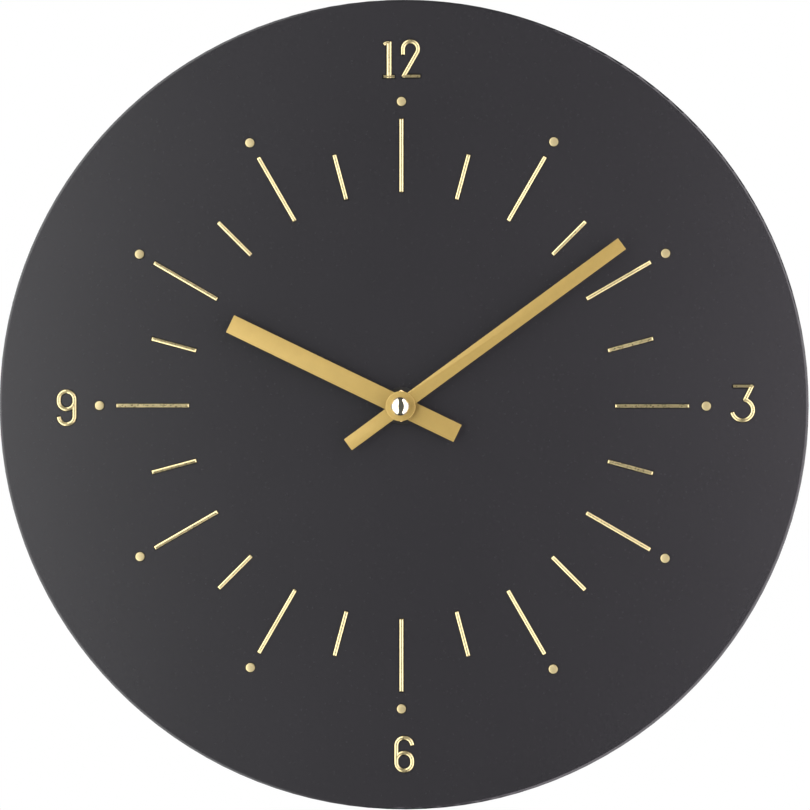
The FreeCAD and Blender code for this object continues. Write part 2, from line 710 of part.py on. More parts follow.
def make_dial(grooves):
    body = new_body("dial_blank")
    pad(body, lambda sketch: draw_circle(sketch, "dims.dial_diameter"), FACE)
    soften(body, "Fillet", "dims.dial_edge_radius", lies_at(FACE))
    soften(body, "Chamfer", "dims.dial_back_chamfer", lies_at("0"))
    half = "(dims.movement_size / 2 + dims.pocket_clearance)"
    pocket(body, lambda sketch: draw_polygon(sketch, rectangle(f"-{half}", half, f"-{half}", half)),
           "0", POCKET, True)
    reach = worth(half) + 1
    soften(body, "Fillet", "dims.pocket_corner_radius",
           lambda edge: stands(edge) and edge.BoundBox.Center.Length < 2 * reach)
    pocket(body, lambda sketch: draw_circle(sketch, "dims.bush_diameter + 2 * dims.bush_hole_clearance"),
           POCKET, "dims.web_thickness", True)
    for _, length, turn in BAR_KINDS:
        def slot(sketch, length=length, turn=turn):
            corners = [turned(corner, float(turn)) for corner in bar_corners(length, "dims.inlay_gap")]
            draw_polygon(sketch, corners)
        cut_in = pocket(body, slot, FACE, "dims.inlay_depth")
        round_about(body, [cut_in], HOURS)
    cut_in = pocket(body, lambda sketch: draw_circle(
        sketch, "dims.dot_diameter + 2 * dims.inlay_gap", ("0", "dims.dot_ring_radius")),
        FACE, "dims.inlay_depth")
    round_about(body, [cut_in], HOURS)
    place(body)
    across = "dims.hanger_length / 2 + dims.inlay_gap"
    tall = "dims.hanger_height / 2 + dims.inlay_gap"
    room = "dims.keyhole_head_diameter + 2"
    recess = new_body("hanger_recess")
    pad(recess, lambda sketch: draw_polygon(
        sketch, rectangle(f"-({across})", across, f"-({tall})", tall)), "dims.hanger_thickness")
    soften(recess, "Fillet", "dims.hanger_height / 4", stands)
    place(recess, ("0", "dims.hanger_up"))
    tools = [
        recess,
        block(f"-({room}) / 2", f"({room}) / 2", KEYHOLE_UP,
              f"{KEYHOLE_UP} + dims.keyhole_slot_length", "0", "dims.keyhole_room_depth"),
        cylinder(room, "0", "dims.keyhole_room_depth", ("0", KEYHOLE_UP)),
        cylinder(room, "0", "dims.keyhole_room_depth",
                 ("0", f"{KEYHOLE_UP} + dims.keyhole_slot_length")),
    ]
    for across in HANGER_SCREWS:
        tools.append(cylinder("dims.screw_shank_diameter", "0", "dims.screw_length",
                              (across, "dims.hanger_up")))
        tools.append(screw_head(across))
    doc.recompute()
    keep(cut([body], tools + grooves), "dial_board")


def turned(corner, degrees):
    """A corner turned about the dial's axis, still as expressions."""
    cosine = f"{math.cos(math.radians(degrees)):.9f}"
    sine = f"{math.sin(math.radians(degrees)):.9f}"
    x, y = corner
    return f"({x} * {cosine} - {y} * {sine})", f"({x} * {sine} + {y} * {cosine})"


# ---------------------------------------------------------------- hanger
def make_hanger():
    body = new_body("hanger_blank")
    half = "dims.hanger_length / 2"
    tall = "dims.hanger_height / 2"
    pad(body, lambda sketch: draw_polygon(sketch, rectangle(f"-{half}", half, f"-{tall}", tall)),
        "dims.hanger_thickness")
    soften(body, "Fillet", "dims.hanger_height / 4", stands)
    round_part = ("0", "-dims.keyhole_slot_length / 2")
    pocket(body, lambda sketch: draw_circle(sketch, "dims.keyhole_head_diameter", round_part),
           "0", "dims.hanger_thickness", True)
    slot = "dims.keyhole_slot_width / 2"
    top = "dims.keyhole_slot_length / 2"
    pocket(body, lambda sketch: draw_polygon(sketch, rectangle(f"-{slot}", slot, f"-{top}", top)),
           "0", "dims.hanger_thickness", True)
    pocket(body, lambda sketch: draw_circle(sketch, "dims.keyhole_slot_width", ("0", top)),
           "0", "dims.hanger_thickness", True)
    place(body, ("0", "dims.hanger_up"))
    sinks = [screw_head(across) for across in HANGER_SCREWS]
    keep(cut([body], sinks), "keyhole_hanger")


def screw_head(across):
    """A countersunk head, its flat top in the plane of the wall."""
    head = doc.addObject("Part::Cone", "head")
    head.setExpression("Radius1", "dims.screw_head_diameter / 2")
    head.setExpression("Radius2", "dims.screw_shank_diameter / 2")
    head.setExpression("Height", "(dims.screw_head_diameter - dims.screw_shank_diameter) / 2")
    place(head, (across, "dims.hanger_up"))
    return head


def make_hanger_screws():
    screws = []
    for across in HANGER_SCREWS:
        at = (across, "dims.hanger_up")
        shank = cylinder("dims.screw_shank_diameter", "0", "dims.screw_length", at)
        slot = block(f"{across} - 0.5", f"{across} + 0.5", "dims.hanger_up - dims.screw_head_diameter",
                     "dims.hanger_up + dims.screw_head_diameter", "0", "0.8")
        screws.append(cut([screw_head(across), shank], [slot]))
    keep(grouped(screws), "hanger_screws")


# ---------------------------------------------------------------- front fittings
def make_front_fittings():
    half = "dims.gasket_size / 2"
    body = new_body("rubber_gasket")
    pad(body, lambda sketch: draw_polygon(sketch, rectangle(f"-{half}", half, f"-{half}", half)),
        "dims.gasket_thickness")
    soften(body, "Fillet", "dims.pocket_corner_radius", stands)
    pocket(body, lambda sketch: draw_circle(sketch, "dims.bush_diameter + 2 * dims.bush_hole_clearance"),
           "0", "dims.gasket_thickness", True)
    place(body, CENTRE, CASE_FRONT)
    keep(body, "rubber_gasket")

    washer_top = f"{FACE} + dims.washer_thickness"
    keep(cut([cylinder("dims.washer_diameter", FACE, washer_top)],
             [cylinder("dims.bush_diameter + dims.bush_hole_clearance", FACE, washer_top)]), "washer")

    corner = "(dims.bush_diameter + 2 * dims.nut_wall) / sqrt(3)"
    body = new_body("clamp_nut")
    corners = [polar(corner, 30 + 60 * side) for side in range(6)]
    pad(body, lambda sketch: draw_polygon(sketch, corners), "dims.nut_thickness")
    pocket(body, lambda sketch: draw_circle(sketch, "dims.bush_diameter"), "0", "dims.nut_thickness", True)
    soften(body, "Chamfer", "0.3", lambda edge: lies_at("dims.nut_thickness")(edge) and edge.Length < 12)
    place(body, CENTRE, washer_top)
    keep(body, "clamp_nut")

    bush_top = f"{FACE} + dims.bush_stand"
    bore = "dims.hour_pipe_diameter + 2 * dims.running_clearance"
    flange_low = f"{ROOM_FRONT} - dims.bush_flange_thickness"
    keep(cut([cylinder("dims.bush_diameter", ROOM_FRONT, bush_top),
              cylinder("dims.bush_flange_diameter", flange_low, ROOM_FRONT)],
             [cylinder(bore, flange_low, bush_top)]), "threaded_bush")


# ---------------------------------------------------------------- hands
def hand_body(label, width, length, tail, hub, hole, level, turn):
    """A flat hand: a strip with a disc in it, bevelled along its upper edges."""
    body = new_body(label)
    half = f"({width} / 2)"
    pad(body, lambda sketch: draw_polygon(sketch, rectangle(f"-{half}", half, f"-{tail}", length)),
        "dims.hand_thickness")
    if worth(hub) > worth(width):
        pad(body, lambda sketch: draw_circle(sketch, hub), "dims.hand_thickness")
    soften(body, "Chamfer", "dims.hand_edge_chamfer", lies_at("dims.hand_thickness"))
    pocket(body, lambda sketch: draw_circle(sketch, hole), "0", "dims.hand_thickness", True)
    place(body, CENTRE, level, f"-{turn}")
    keep(body, label)


def make_hands():
    neck = "dims.hub_neck_diameter"
    collet_neck = "(dims.hour_pipe_diameter + 2 * dims.air_gap)"
    hand_body("hour_hand", "dims.hour_hand_width", "dims.hour_hand_length", "dims.hour_hand_tail",
              "dims.hour_hub_diameter", collet_neck, HOUR_HAND_LOW, "dims.hour_hand_turn")
    hand_body("minute_hand", "dims.minute_hand_width", "dims.minute_hand_length",
              "dims.minute_hand_tail", "dims.hub_diameter - 1", neck, MINUTE_HAND_LOW,
              "dims.minute_hand_turn")

    collet_low = f"{HOUR_HAND_LOW} - dims.collet_flange_thickness"
    collet_top = f"{HOUR_PIPE_TOP} - dims.air_gap / 2"
    keep(cut([cylinder("dims.collet_flange_diameter", collet_low, HOUR_HAND_LOW),
              cylinder(collet_neck, HOUR_HAND_LOW, collet_top)],
             [cylinder("dims.hour_pipe_diameter", collet_low, collet_top)]), "hour_hand_collet")

    rim = cylinder("dims.hub_diameter", HUB_LOW, CAP_LOW)
    bevelled = doc.addObject("Part::Chamfer", "bevelled")
    bevelled.Base = rim
    doc.recompute()
    edge = [number for number, item in enumerate(rim.Shape.Edges, 1)
            if abs(item.BoundBox.YMin + worth(CAP_LOW)) < 1e-4
            and abs(item.BoundBox.YMax + worth(CAP_LOW)) < 1e-4]
    bevel = worth("dims.hub_thickness") / 2
    bevelled.Edges = [(edge[0], bevel, bevel)]
    keep(cut([bevelled, cylinder(neck, MINUTE_HAND_LOW, HUB_LOW)],
             [cylinder("dims.minute_thread_diameter", MINUTE_HAND_LOW, CAP_LOW)]), "minute_hand_hub")

    skirt_top = f"({CAP_LOW} + dims.cap_nut_skirt)"
    dome = doc.addObject("Part::Sphere", "dome")
    rise = "dims.cap_nut_dome"
    radius = f"((dims.cap_nut_diameter ^ 2 / 4 + {rise} ^ 2) / (2 * {rise}))"
    dome.setExpression("Radius", radius)
    dome.setExpression("Angle1", f"asin(1 - {rise} / {radius})")
    place(dome, CENTRE, f"{skirt_top} + {rise} - {radius}")
    bore = cylinder("dims.minute_thread_diameter", CAP_LOW, f"{CAP_LOW} + dims.cap_nut_bore_depth")
    keep(cut([cylinder("dims.cap_nut_diameter", CAP_LOW, skirt_top), dome], [bore]), "cap_nut")


# ---------------------------------------------------------------- movement case
def make_case():
    body = new_body("case_block")
    half = "dims.movement_size / 2"
    pad(body, lambda sketch: draw_polygon(sketch, rectangle(f"-{half}", half, f"-{half}", half)),
        "dims.movement_depth")
    soften(body, "Fillet", "dims.case_corner_radius", stands)
    soften(body, "Chamfer", "0.4", lies_at("dims.movement_depth"))
    inner = ROOM_HALF
    hollow = "dims.movement_depth - dims.case_wall"
    room = rectangle(f"-{inner}", inner, "-dims.gear_room_reach", inner)
    bay = rectangle(f"-{inner}", inner, BAY_LOW, BAY_TOP)
    pocket(body, lambda sketch: draw_polygon(sketch, room), "0", hollow, True)
    pocket(body, lambda sketch: draw_polygon(sketch, bay), "0", hollow, True)
    pocket(body, lambda sketch: draw_circle(sketch, "dims.bush_diameter"), hollow, "dims.case_wall", True)
    place(body, CENTRE, CASE_REAR)

    notch_low = f"{BATTERY_LEVEL} - dims.contact_width / 2 - dims.end_play"
    notch_high = f"{BATTERY_LEVEL} + dims.contact_width / 2 + dims.end_play"
    notch = f"{inner} - dims.contact_thickness - dims.end_play"
    notches = [
        block(notch, inner, BAY_TOP, "-dims.gear_room_reach", notch_low, notch_high),
        block(f"-({inner})", f"-({notch})", BAY_TOP, "-dims.gear_room_reach", notch_low, notch_high),
    ]
    posts = [cylinder("dims.post_diameter", PLATE_TOP, ROOM_FRONT, at) for at in PILLARS]
    posts += [cylinder("dims.post_diameter / 1.5", BOARD_TOP, ROOM_FRONT, at) for at in board_posts()]
    posts += [cylinder("dims.post_diameter", COVER_INSIDE, ROOM_FRONT, at) for at in cover_posts()]
    boss_low = f"{MINUTE_TOP} + 2.5 * dims.air_gap"
    boss = cylinder("dims.knob_shaft_diameter * 1.4", boss_low, ROOM_FRONT, KNOB_AXIS)
    hole = cylinder("dims.knob_shaft_diameter / 1.5 + 2 * dims.running_clearance", boss_low,
                    ROOM_FRONT, KNOB_AXIS)
    keep(cut([body, boss] + posts, notches + [hole]), "movement_case")


def board_left():
    return f"(-{ROOM_HALF} + dims.contact_thickness + dims.end_play)"


def board_posts():
    middle = f"{board_left()} + dims.board_width / 2"
    return ((middle, "-dims.gear_room_reach + 4"), (middle, "-dims.gear_room_reach + 20"))


def cover_posts():
    far = f"{ROOM_HALF} - dims.post_diameter / 2"
    return ((f"-({far})", far), (far, far))


def make_cover():
    body = new_body("rear_cover")
    side = f"({ROOM_HALF} - dims.cover_clearance)"
    low = "(-dims.gear_room_reach + dims.cover_clearance)"
    pad(body, lambda sketch: draw_polygon(sketch, rectangle(f"-{side}", side, low, side)),
        "dims.cover_thickness")
    well = "(dims.knob_diameter + 1.2)"
    well_depth = "(dims.knob_thickness + dims.end_play)"
    pad(body, lambda sketch: draw_circle(sketch, f"{well} + 2 * dims.cover_thickness", KNOB_AXIS),
        f"{well_depth} + dims.cover_thickness")
    pocket(body, lambda sketch: draw_circle(sketch, well, KNOB_AXIS), "0", well_depth, True)
    pocket(body, lambda sketch: draw_circle(
        sketch, "dims.knob_shaft_diameter + 2 * dims.running_clearance", KNOB_AXIS),
        well_depth, "dims.cover_thickness", True)
    place(body, CENTRE, CASE_REAR)
    keep(body, "rear_cover")


def plate_body(label, low, holes, pin_hole=()):
    body = new_body(label)
    corners = rectangle(PLATE_LEFT, PLATE_RIGHT, PLATE_BOTTOM, PLATE_UP)
    pad(body, lambda sketch: draw_polygon(sketch, corners), "dims.plate_thickness")
    soften(body, "Fillet", "1.5", stands)
    for diameter, at in holes:
        pocket(body, lambda sketch: draw_circle(sketch, diameter, at), "0", "dims.plate_thickness", True)
    place(body, CENTRE, low)
    return body


def make_plates():
    pivot = "dims.pivot_diameter + 2 * dims.running_clearance"
    shoulder = "dims.minute_pipe_diameter + 1.2 + 2 * dims.running_clearance"
    middle = plate_body("middle_plate", PLATE_LOW, (
        (shoulder, CENTRE), (pivot, THIRD_AXIS), (pivot, ROTOR_AXIS),
        (pivot, INTERMEDIATE_AXIS), ("dims.arbor_diameter", MINUTE_WHEEL_AXIS)))
    keep(middle, "middle_plate")
    rear = plate_body("rear_plate_blank", REAR_LOW, (
        (pivot, CENTRE), (pivot, THIRD_AXIS), (pivot, ROTOR_AXIS), (pivot, INTERMEDIATE_AXIS)))
    pillars = [cylinder("dims.pillar_diameter", REAR_TOP, PLATE_LOW, at) for at in PILLARS]
    well = cylinder("dims.knob_diameter + 4", REAR_LOW, REAR_TOP, KNOB_AXIS)
    keep(cut([rear] + pillars, [well]), "rear_plate")
    keep(cylinder("dims.arbor_diameter", PLATE_LOW, HOUR_TOP, MINUTE_WHEEL_AXIS), "minute_wheel_pin")


# ---------------------------------------------------------------- motor and electrics
def make_motor():
    body = new_body("stator_plate")
    x, y = ROTOR_AXIS
    arm = "(dims.coil_length / 2 + 0.2)"
    arm_out = f"({arm} + 2.6)"
    low, shelf, top = f"({y} - 4)", f"({y} + 1.2)", f"({y} + 4.2)"
    ends = f"({coil_up()} + dims.core_width / 2)"
    corners = (
        (f"{x} - 5.5", low), (f"{x} + 5.5", low), (f"{x} + 5.5", shelf), (f"{x} + {arm_out}", shelf),
        (f"{x} + {arm_out}", ends), (f"{x} + {arm}", ends), (f"{x} + {arm}", top),
        (f"{x} - {arm}", top), (f"{x} - {arm}", ends), (f"{x} - {arm_out}", ends),
        (f"{x} - {arm_out}", shelf), (f"{x} - 5.5", shelf))
    pad(body, lambda sketch: draw_polygon(sketch, corners), "dims.stator_thickness")
    pocket(body, lambda sketch: draw_circle(sketch, "dims.stator_bore_diameter", ROTOR_AXIS),
           "0", "dims.stator_thickness", True)
    place(body, CENTRE, STATOR_LOW)
    keep(body, "stator_plate")

    half = "dims.core_width / 2"
    up = coil_up()
    keep(block(f"{x} - {arm_out}", f"{x} + {arm_out}", f"{up} - {half}", f"{up} + {half}",
               STATOR_TOP, CORE_TOP), "coil_core")

    left, right = f"({x} - dims.coil_length / 2)", f"({x} + dims.coil_length / 2)"
    level = f"({STATOR_TOP} + dims.stator_thickness / 2)"
    flange = "dims.coil_flange_thickness"
    gap = "(dims.end_play / 2)"
    bobbin = [rod_across("dims.coil_tube_diameter", left, right, up, level),
              rod_across("dims.coil_flange_diameter", left, f"{left} + {flange}", up, level),
              rod_across("dims.coil_flange_diameter", f"{right} - {flange}", right, up, level)]
    window = block(left, right, f"{up} - {half} - {gap}", f"{up} + {half} + {gap}",
                   f"{STATOR_TOP} - {gap}", f"{CORE_TOP} + {gap}")
    keep(cut(bobbin, [window]), "coil_bobbin")
    inner = (f"{left} + {flange}", f"{right} - {flange}", up, level)
    keep(cut([rod_across("dims.coil_diameter", *inner)],
             [rod_across("dims.coil_tube_diameter", *inner)]), "coil_winding")


def coil_up():
    return f"({ROOM_HALF} - dims.coil_flange_diameter / 2 - 0.7)"


def make_electrics():
    left = board_left()
    right = f"({left} + dims.board_width)"
    low = "(-dims.gear_room_reach + dims.board_foot)"
    keep(block(left, right, low, f"{low} + dims.board_length", BOARD_LOW, BOARD_TOP), "circuit_board")
    chip_at = (f"({left} + {right}) / 2", f"{low} + dims.board_length / 2")
    chip = doc.addObject("Part::Sphere", "chip")
    chip.setExpression("Radius", "dims.chip_sphere_radius")
    chip.setExpression("Angle1", "asin(dims.chip_sink / dims.chip_sphere_radius)")
    chip.Angle2 = 90
    chip.setExpression("Placement", (
        f"placement(vector({chip_at[0]}; -({BOARD_LOW} + dims.chip_sink); {chip_at[1]}); "
        "rotation(vector(1; 0; 0); -90))"))
    keep(chip, "chip_blob")
    crystal = doc.addObject("Part::Cylinder", "crystal")
    crystal.setExpression("Radius", "dims.crystal_diameter / 2")
    crystal.setExpression("Height", "dims.crystal_length")
    crystal.setExpression("Placement", (
        f"placement(vector({right} - dims.crystal_inset; -({BOARD_LOW} - dims.crystal_diameter / 2); "
        f"{low} + dims.crystal_up); "
        "rotation(vector(0; 0; 1); 0))"))
    keep(crystal, "quartz_crystal")

    side = ROOM_HALF
    thin = "dims.contact_thickness"
    level_low = f"({BATTERY_LEVEL} - dims.contact_width / 2)"
    level_high = f"({BATTERY_LEVEL} + dims.contact_width / 2)"
    foot = f"({BATTERY_UP} - dims.contact_width / 2)"
    above = "(-dims.gear_room_reach + dims.end_play / 2)"
    run = f"({above} + {thin})"
    strip_high = f"({BOARD_LOW} - dims.contact_strip_gap)"
    strip_low = f"({strip_high} - dims.contact_strip_width)"
    tab = f"({right} - dims.contact_tab_inset)"
    tab_left = f"({tab} - dims.contact_tab_width)"
    tab_top = f"({above} + dims.contact_tab_height)"
    positive = [
        block(f"{side} - {thin}", side, foot, run, level_low, level_high),
        block(tab_left, side, above, run, strip_low, strip_high),
        block(tab_left, tab, above, tab_top, strip_high, BOARD_LOW),
    ]
    keep(fused(positive), "positive_contact")

    spring_gap = f"({BATTERY_END} - dims.battery_length - dims.end_play / 2)"
    bend = f"(-{side} + {thin})"
    body = new_body("contact_leaf")
    tip = f"({spring_gap} - {bend})"
    reach = "dims.contact_leaf_reach"
    inner = f"({reach} - dims.contact_leaf_foot)"
    corners = (("0", f"-{reach}"), (tip, "0"), ("0", reach), ("0", inner),
               (f"{tip} - {thin} * 1.2", "0"), ("0", f"-{inner}"))
    pad(body, lambda sketch: draw_polygon(sketch, corners), "dims.contact_width / 2")
    place(body, (bend, BATTERY_UP), f"{BATTERY_LEVEL} - dims.contact_width / 4")
    negative = [
        block(f"-{side}", bend, foot, tab_top, level_low, level_high),
        body,
        block(bend, f"{left} + dims.contact_tab_width", f"{low} + dims.end_play", tab_top,
              f"{BOARD_LOW} - {thin}", BOARD_LOW),
    ]
    keep(fused(negative), "negative_contact")


def make_battery():
    start = f"({BATTERY_END} - dims.battery_length)"
    shoulder = f"({BATTERY_END} - dims.battery_nub_length)"
    can = "dims.battery_diameter - 2 * dims.battery_jacket"
    keep(fused([rod_across(can, start, shoulder, BATTERY_UP, BATTERY_LEVEL),
                rod_across("dims.battery_nub_diameter", shoulder, BATTERY_END, BATTERY_UP,
                           BATTERY_LEVEL)]), "battery_can")
    jacket = (f"{start} + 0.5", f"{shoulder} - 0.5", BATTERY_UP, BATTERY_LEVEL)
    keep(cut([rod_across("dims.battery_diameter", *jacket)], [rod_across(can, *jacket)]),
         "battery_jacket")


# ---------------------------------------------------------------- wheels
def wheel_windows(module, teeth, low, high, hub):
    """Round openings that lighten a wheel, between its hub and its rim."""
    rim = worth(module) * (teeth / 2 - 2.5)
    inner = worth(hub) / 2 + 0.8
    radius = (rim - inner) / 2
    if radius < 0.8:
        return []
    middle = (rim + inner) / 2
    count = max(3, int(math.pi * middle / (radius + 0.5)))
    height = worth(high) - worth(low)
    return [Part.makeCylinder(radius, height, Vector(middle * math.cos(turn), middle * math.sin(turn),
                                                     worth(low)))
            for turn in [2 * math.pi * number / count for number in range(count)]]


def make_train():
    """The wheels from the motor to the centre wheel, and the pieces of the slipping clutch."""
    train, motor = "dims.train_module", "dims.motor_module"
    arbor, pivot = "dims.arbor_diameter", "dims.pivot_diameter"
    rear_pivot = f"{REAR_LOW} + dims.end_play"
    front_pivot = f"{PLATE_TOP} - dims.end_play"
    rear_shoulder = f"{REAR_TOP} + dims.end_play"
    front_shoulder = f"{PLATE_LOW} - dims.end_play"

    shift = undercut_shift(INTERMEDIATE_PINION_TEETH)
    pinion_shift = undercut_shift(SECONDS_PINION_TEETH)
    seconds_phase = 0.0
    seconds_pinion_top = f"{RETAINER_LOW} - dims.end_play"
    pieces = [
        gear(train, SECONDS_TEETH, SECONDS_LOW, SECONDS_TOP, seconds_phase, -shift),
        gear(train, SECONDS_PINION_TEETH, SECONDS_TOP, seconds_pinion_top, 0.0, pinion_shift)]
    holes = wheel_windows(train, SECONDS_TEETH, SECONDS_LOW, SECONDS_TOP, "4")
    shaft = "dims.seconds_shaft_diameter"
    bore = rod(shaft, SECONDS_LOW, seconds_pinion_top)
    solid_part("seconds_wheel", merge(pieces, holes + [bore]))
    shaft_top = f"{MINUTE_HAND_LOW} + dims.minute_thread_length - 0.3"
    solid_part("seconds_shaft", merge([rod(shaft, rear_shoulder, shaft_top),
                                       rod(pivot, rear_pivot, rear_shoulder)]))

    direction = INTERMEDIATE_TURN
    phase = meshed_phase(seconds_phase, SECONDS_TEETH, INTERMEDIATE_PINION_TEETH, direction)
    intermediate_phase = 0.0
    motor_shift = undercut_shift(ROTOR_TEETH)
    pinion_top = f"{SECONDS_TOP} + dims.end_play / 4"
    pieces = [
        gear(train, INTERMEDIATE_PINION_TEETH, INTERMEDIATE_TOP, pinion_top, phase, shift),
        gear(motor, INTERMEDIATE_TEETH, INTERMEDIATE_LOW, INTERMEDIATE_TOP, intermediate_phase,
             -motor_shift),
        rod(arbor, rear_shoulder, front_shoulder),
        rod(pivot, rear_pivot, front_pivot)]
    holes = wheel_windows(motor, INTERMEDIATE_TEETH, INTERMEDIATE_LOW, INTERMEDIATE_TOP, "3.6")
    solid_part("intermediate_wheel", merge(pieces, holes), INTERMEDIATE_AXIS)

    phase = meshed_phase(intermediate_phase, INTERMEDIATE_TEETH, ROTOR_TEETH, MOTOR_TURN)
    magnet_low = f"({STATOR_LOW} + {STATOR_TOP} - dims.rotor_magnet_length) / 2"
    magnet_top = f"({magnet_low} + dims.rotor_magnet_length)"
    rotor_pinion_top = f"{INTERMEDIATE_TOP} + dims.air_gap"
    solid_part("rotor_pinion", merge([
        gear(motor, ROTOR_TEETH, f"{INTERMEDIATE_LOW} - dims.air_gap / 2", rotor_pinion_top, phase,
             motor_shift),
        rod(arbor, rear_shoulder, front_shoulder),
        rod(pivot, rear_pivot, front_pivot)]), ROTOR_AXIS)
    magnet = rod("dims.rotor_magnet_diameter", magnet_low, magnet_top).cut(rod(arbor, magnet_low, magnet_top))
    solid_part("rotor_magnet", magnet, ROTOR_AXIS)

    phase = meshed_phase(0.0, SECONDS_PINION_TEETH, THIRD_TEETH, 0)
    third_pinion_phase = 0.0
    centre_module = "(2 * " + THIRD_DISTANCE + f" / {CENTRE_TEETH + THIRD_PINION_TEETH})"
    third_shift = undercut_shift(THIRD_PINION_TEETH)
    pieces = [
        gear(train, THIRD_TEETH, THIRD_LOW, THIRD_TOP, phase, -pinion_shift),
        gear(centre_module, THIRD_PINION_TEETH, THIRD_TOP, front_shoulder, third_pinion_phase,
             third_shift),
        rod(arbor, rear_shoulder, THIRD_LOW),
        rod(pivot, rear_pivot, front_pivot)]
    holes = wheel_windows(train, THIRD_TEETH, THIRD_LOW, THIRD_TOP, "3.6")
    solid_part("third_wheel", merge(pieces, holes), THIRD_AXIS)

    phase = meshed_phase(third_pinion_phase, THIRD_PINION_TEETH, CENTRE_TEETH, 180)
    hole = rod("dims.minute_pipe_diameter + 2 * dims.running_clearance", CENTRE_LOW, CENTRE_TOP)
    wheel = gear(centre_module, CENTRE_TEETH, CENTRE_LOW, CENTRE_TOP, phase, -third_shift)
    holes = wheel_windows(centre_module, CENTRE_TEETH, CENTRE_LOW, CENTRE_TOP, "6.6")
    solid_part("centre_wheel", merge([wheel], holes + [hole]))


def make_motion_work():
    """The minute pipe and its clutch, the minute wheel, the hour wheel and the setting knob."""
    module = "dims.motion_module"
    cannon_shift = undercut_shift(CANNON_TEETH)
    minute_pinion_shift = undercut_shift(MINUTE_PINION_TEETH)
    pipe, thread = "dims.minute_pipe_diameter", "dims.minute_thread_diameter"
    pinion_low = f"{PLATE_TOP} + dims.end_play / 2"
    pinion_top = f"{MINUTE_TOP} + dims.end_play"
    thread_top = f"{MINUTE_HAND_LOW} + dims.minute_thread_length"
    shoulder = f"{CENTRE_TOP} + dims.end_play / 2"
    pieces = [
        gear(module, CANNON_TEETH, pinion_low, pinion_top, 0.0, cannon_shift),
        rod(f"{pipe} + 1.2", shoulder, pinion_low),
        rod(pipe, RETAINER_LOW, MINUTE_HAND_LOW),
        rod(thread, MINUTE_HAND_LOW, thread_top)]
    bore = rod("dims.seconds_shaft_diameter + 2 * dims.running_clearance", RETAINER_LOW, thread_top)
    solid_part("minute_pipe", merge(pieces, [bore]))

    retainer_top = f"({SPRING_LOW})"
    keep(cut([cylinder(f"{pipe} + 3", RETAINER_LOW, retainer_top)],
             [cylinder(pipe, RETAINER_LOW, retainer_top)]), "clutch_collar")
    spring = doc.addObject("Part::Cone", "spring")
    spring.setExpression("Radius1", f"{pipe} / 2 + 1.4")
    spring.setExpression("Radius2", f"{pipe} / 2 + 2.4")
    spring.setExpression("Height", "dims.air_gap - dims.end_play / 4")
    place(spring, CENTRE, SPRING_LOW)
    inner = doc.addObject("Part::Cone", "spring_inside")
    inner.setExpression("Radius1", f"{pipe} / 2 + 0.2")
    inner.setExpression("Radius2", f"{pipe} / 2 + 2.0")
    inner.setExpression("Height", "dims.air_gap - dims.end_play / 4")
    place(inner, CENTRE, SPRING_LOW)
    keep(cut([spring], [inner]), "clutch_spring")

    direction = MINUTE_WHEEL_TURN
    phase = meshed_phase(0.0, CANNON_TEETH, MINUTE_WHEEL_TEETH, direction)
    pieces = [
        gear(module, MINUTE_WHEEL_TEETH, MINUTE_LOW, MINUTE_TOP, phase, -cannon_shift),
        gear(module, MINUTE_PINION_TEETH, MINUTE_TOP, HOUR_TOP, 0.0, minute_pinion_shift)]
    holes = wheel_windows(module, MINUTE_WHEEL_TEETH, MINUTE_LOW, MINUTE_TOP, "6")
    bore = rod("dims.arbor_diameter + 2 * dims.running_clearance", MINUTE_LOW, HOUR_TOP)
    solid_part("minute_wheel", merge(pieces, holes + [bore]), MINUTE_WHEEL_AXIS)

    knob_phase = meshed_phase(phase, MINUTE_WHEEL_TEETH, KNOB_TEETH, direction)
    knob_low = CASE_REAR
    knob_top = f"{CASE_REAR} + dims.knob_thickness"
    shaft = "dims.knob_shaft_diameter"
    pieces = [
        gear(module, KNOB_TEETH, f"{MINUTE_LOW} - dims.end_play", f"{MINUTE_TOP} + dims.end_play",
             knob_phase, cannon_shift),
        rod(shaft, knob_top, f"{MINUTE_LOW} - dims.end_play"),
        rod(f"{shaft} / 1.5", f"{MINUTE_TOP} + dims.end_play", f"{ROOM_FRONT} - dims.end_play"),
        rod("dims.knob_diameter - 0.6", knob_low, knob_top)]
    grips = int(worth("dims.knob_grips"))
    reach = worth("dims.knob_diameter") / 2 - 0.45
    for number in range(grips):
        turn = 2 * math.pi * number / grips
        rib = rod("0.9", knob_low, knob_top)
        rib.translate(Vector(reach * math.cos(turn), reach * math.sin(turn), 0))
        pieces.append(rib)
    solid_part("setting_knob", merge(pieces), KNOB_AXIS)

    phase = meshed_phase(0.0, MINUTE_PINION_TEETH, HOUR_WHEEL_TEETH, direction + 180)
    pipe_low = f"{HOUR_LOW} - dims.end_play"
    pieces = [
        gear(module, HOUR_WHEEL_TEETH, HOUR_LOW, HOUR_TOP, phase, -minute_pinion_shift),
        rod("dims.hour_pipe_diameter", pipe_low, HOUR_PIPE_TOP)]
    holes = wheel_windows(module, HOUR_WHEEL_TEETH, HOUR_LOW, HOUR_TOP, "8")
    bore = rod("dims.minute_pipe_diameter + 2 * dims.running_clearance", pipe_low, HOUR_PIPE_TOP)
    solid_part("hour_wheel", merge(pieces, holes + [bore]))


# ---------------------------------------------------------------- build, check, write
def build():
    make_bars()
    make_dots()
    make_dial(make_numerals())
    make_hanger()
    make_hanger_screws()
    make_front_fittings()
    make_hands()
    make_case()
    make_cover()
    make_plates()
    make_motor()
    make_electrics()
    make_battery()
    make_train()
    make_motion_work()
    doc.recompute()


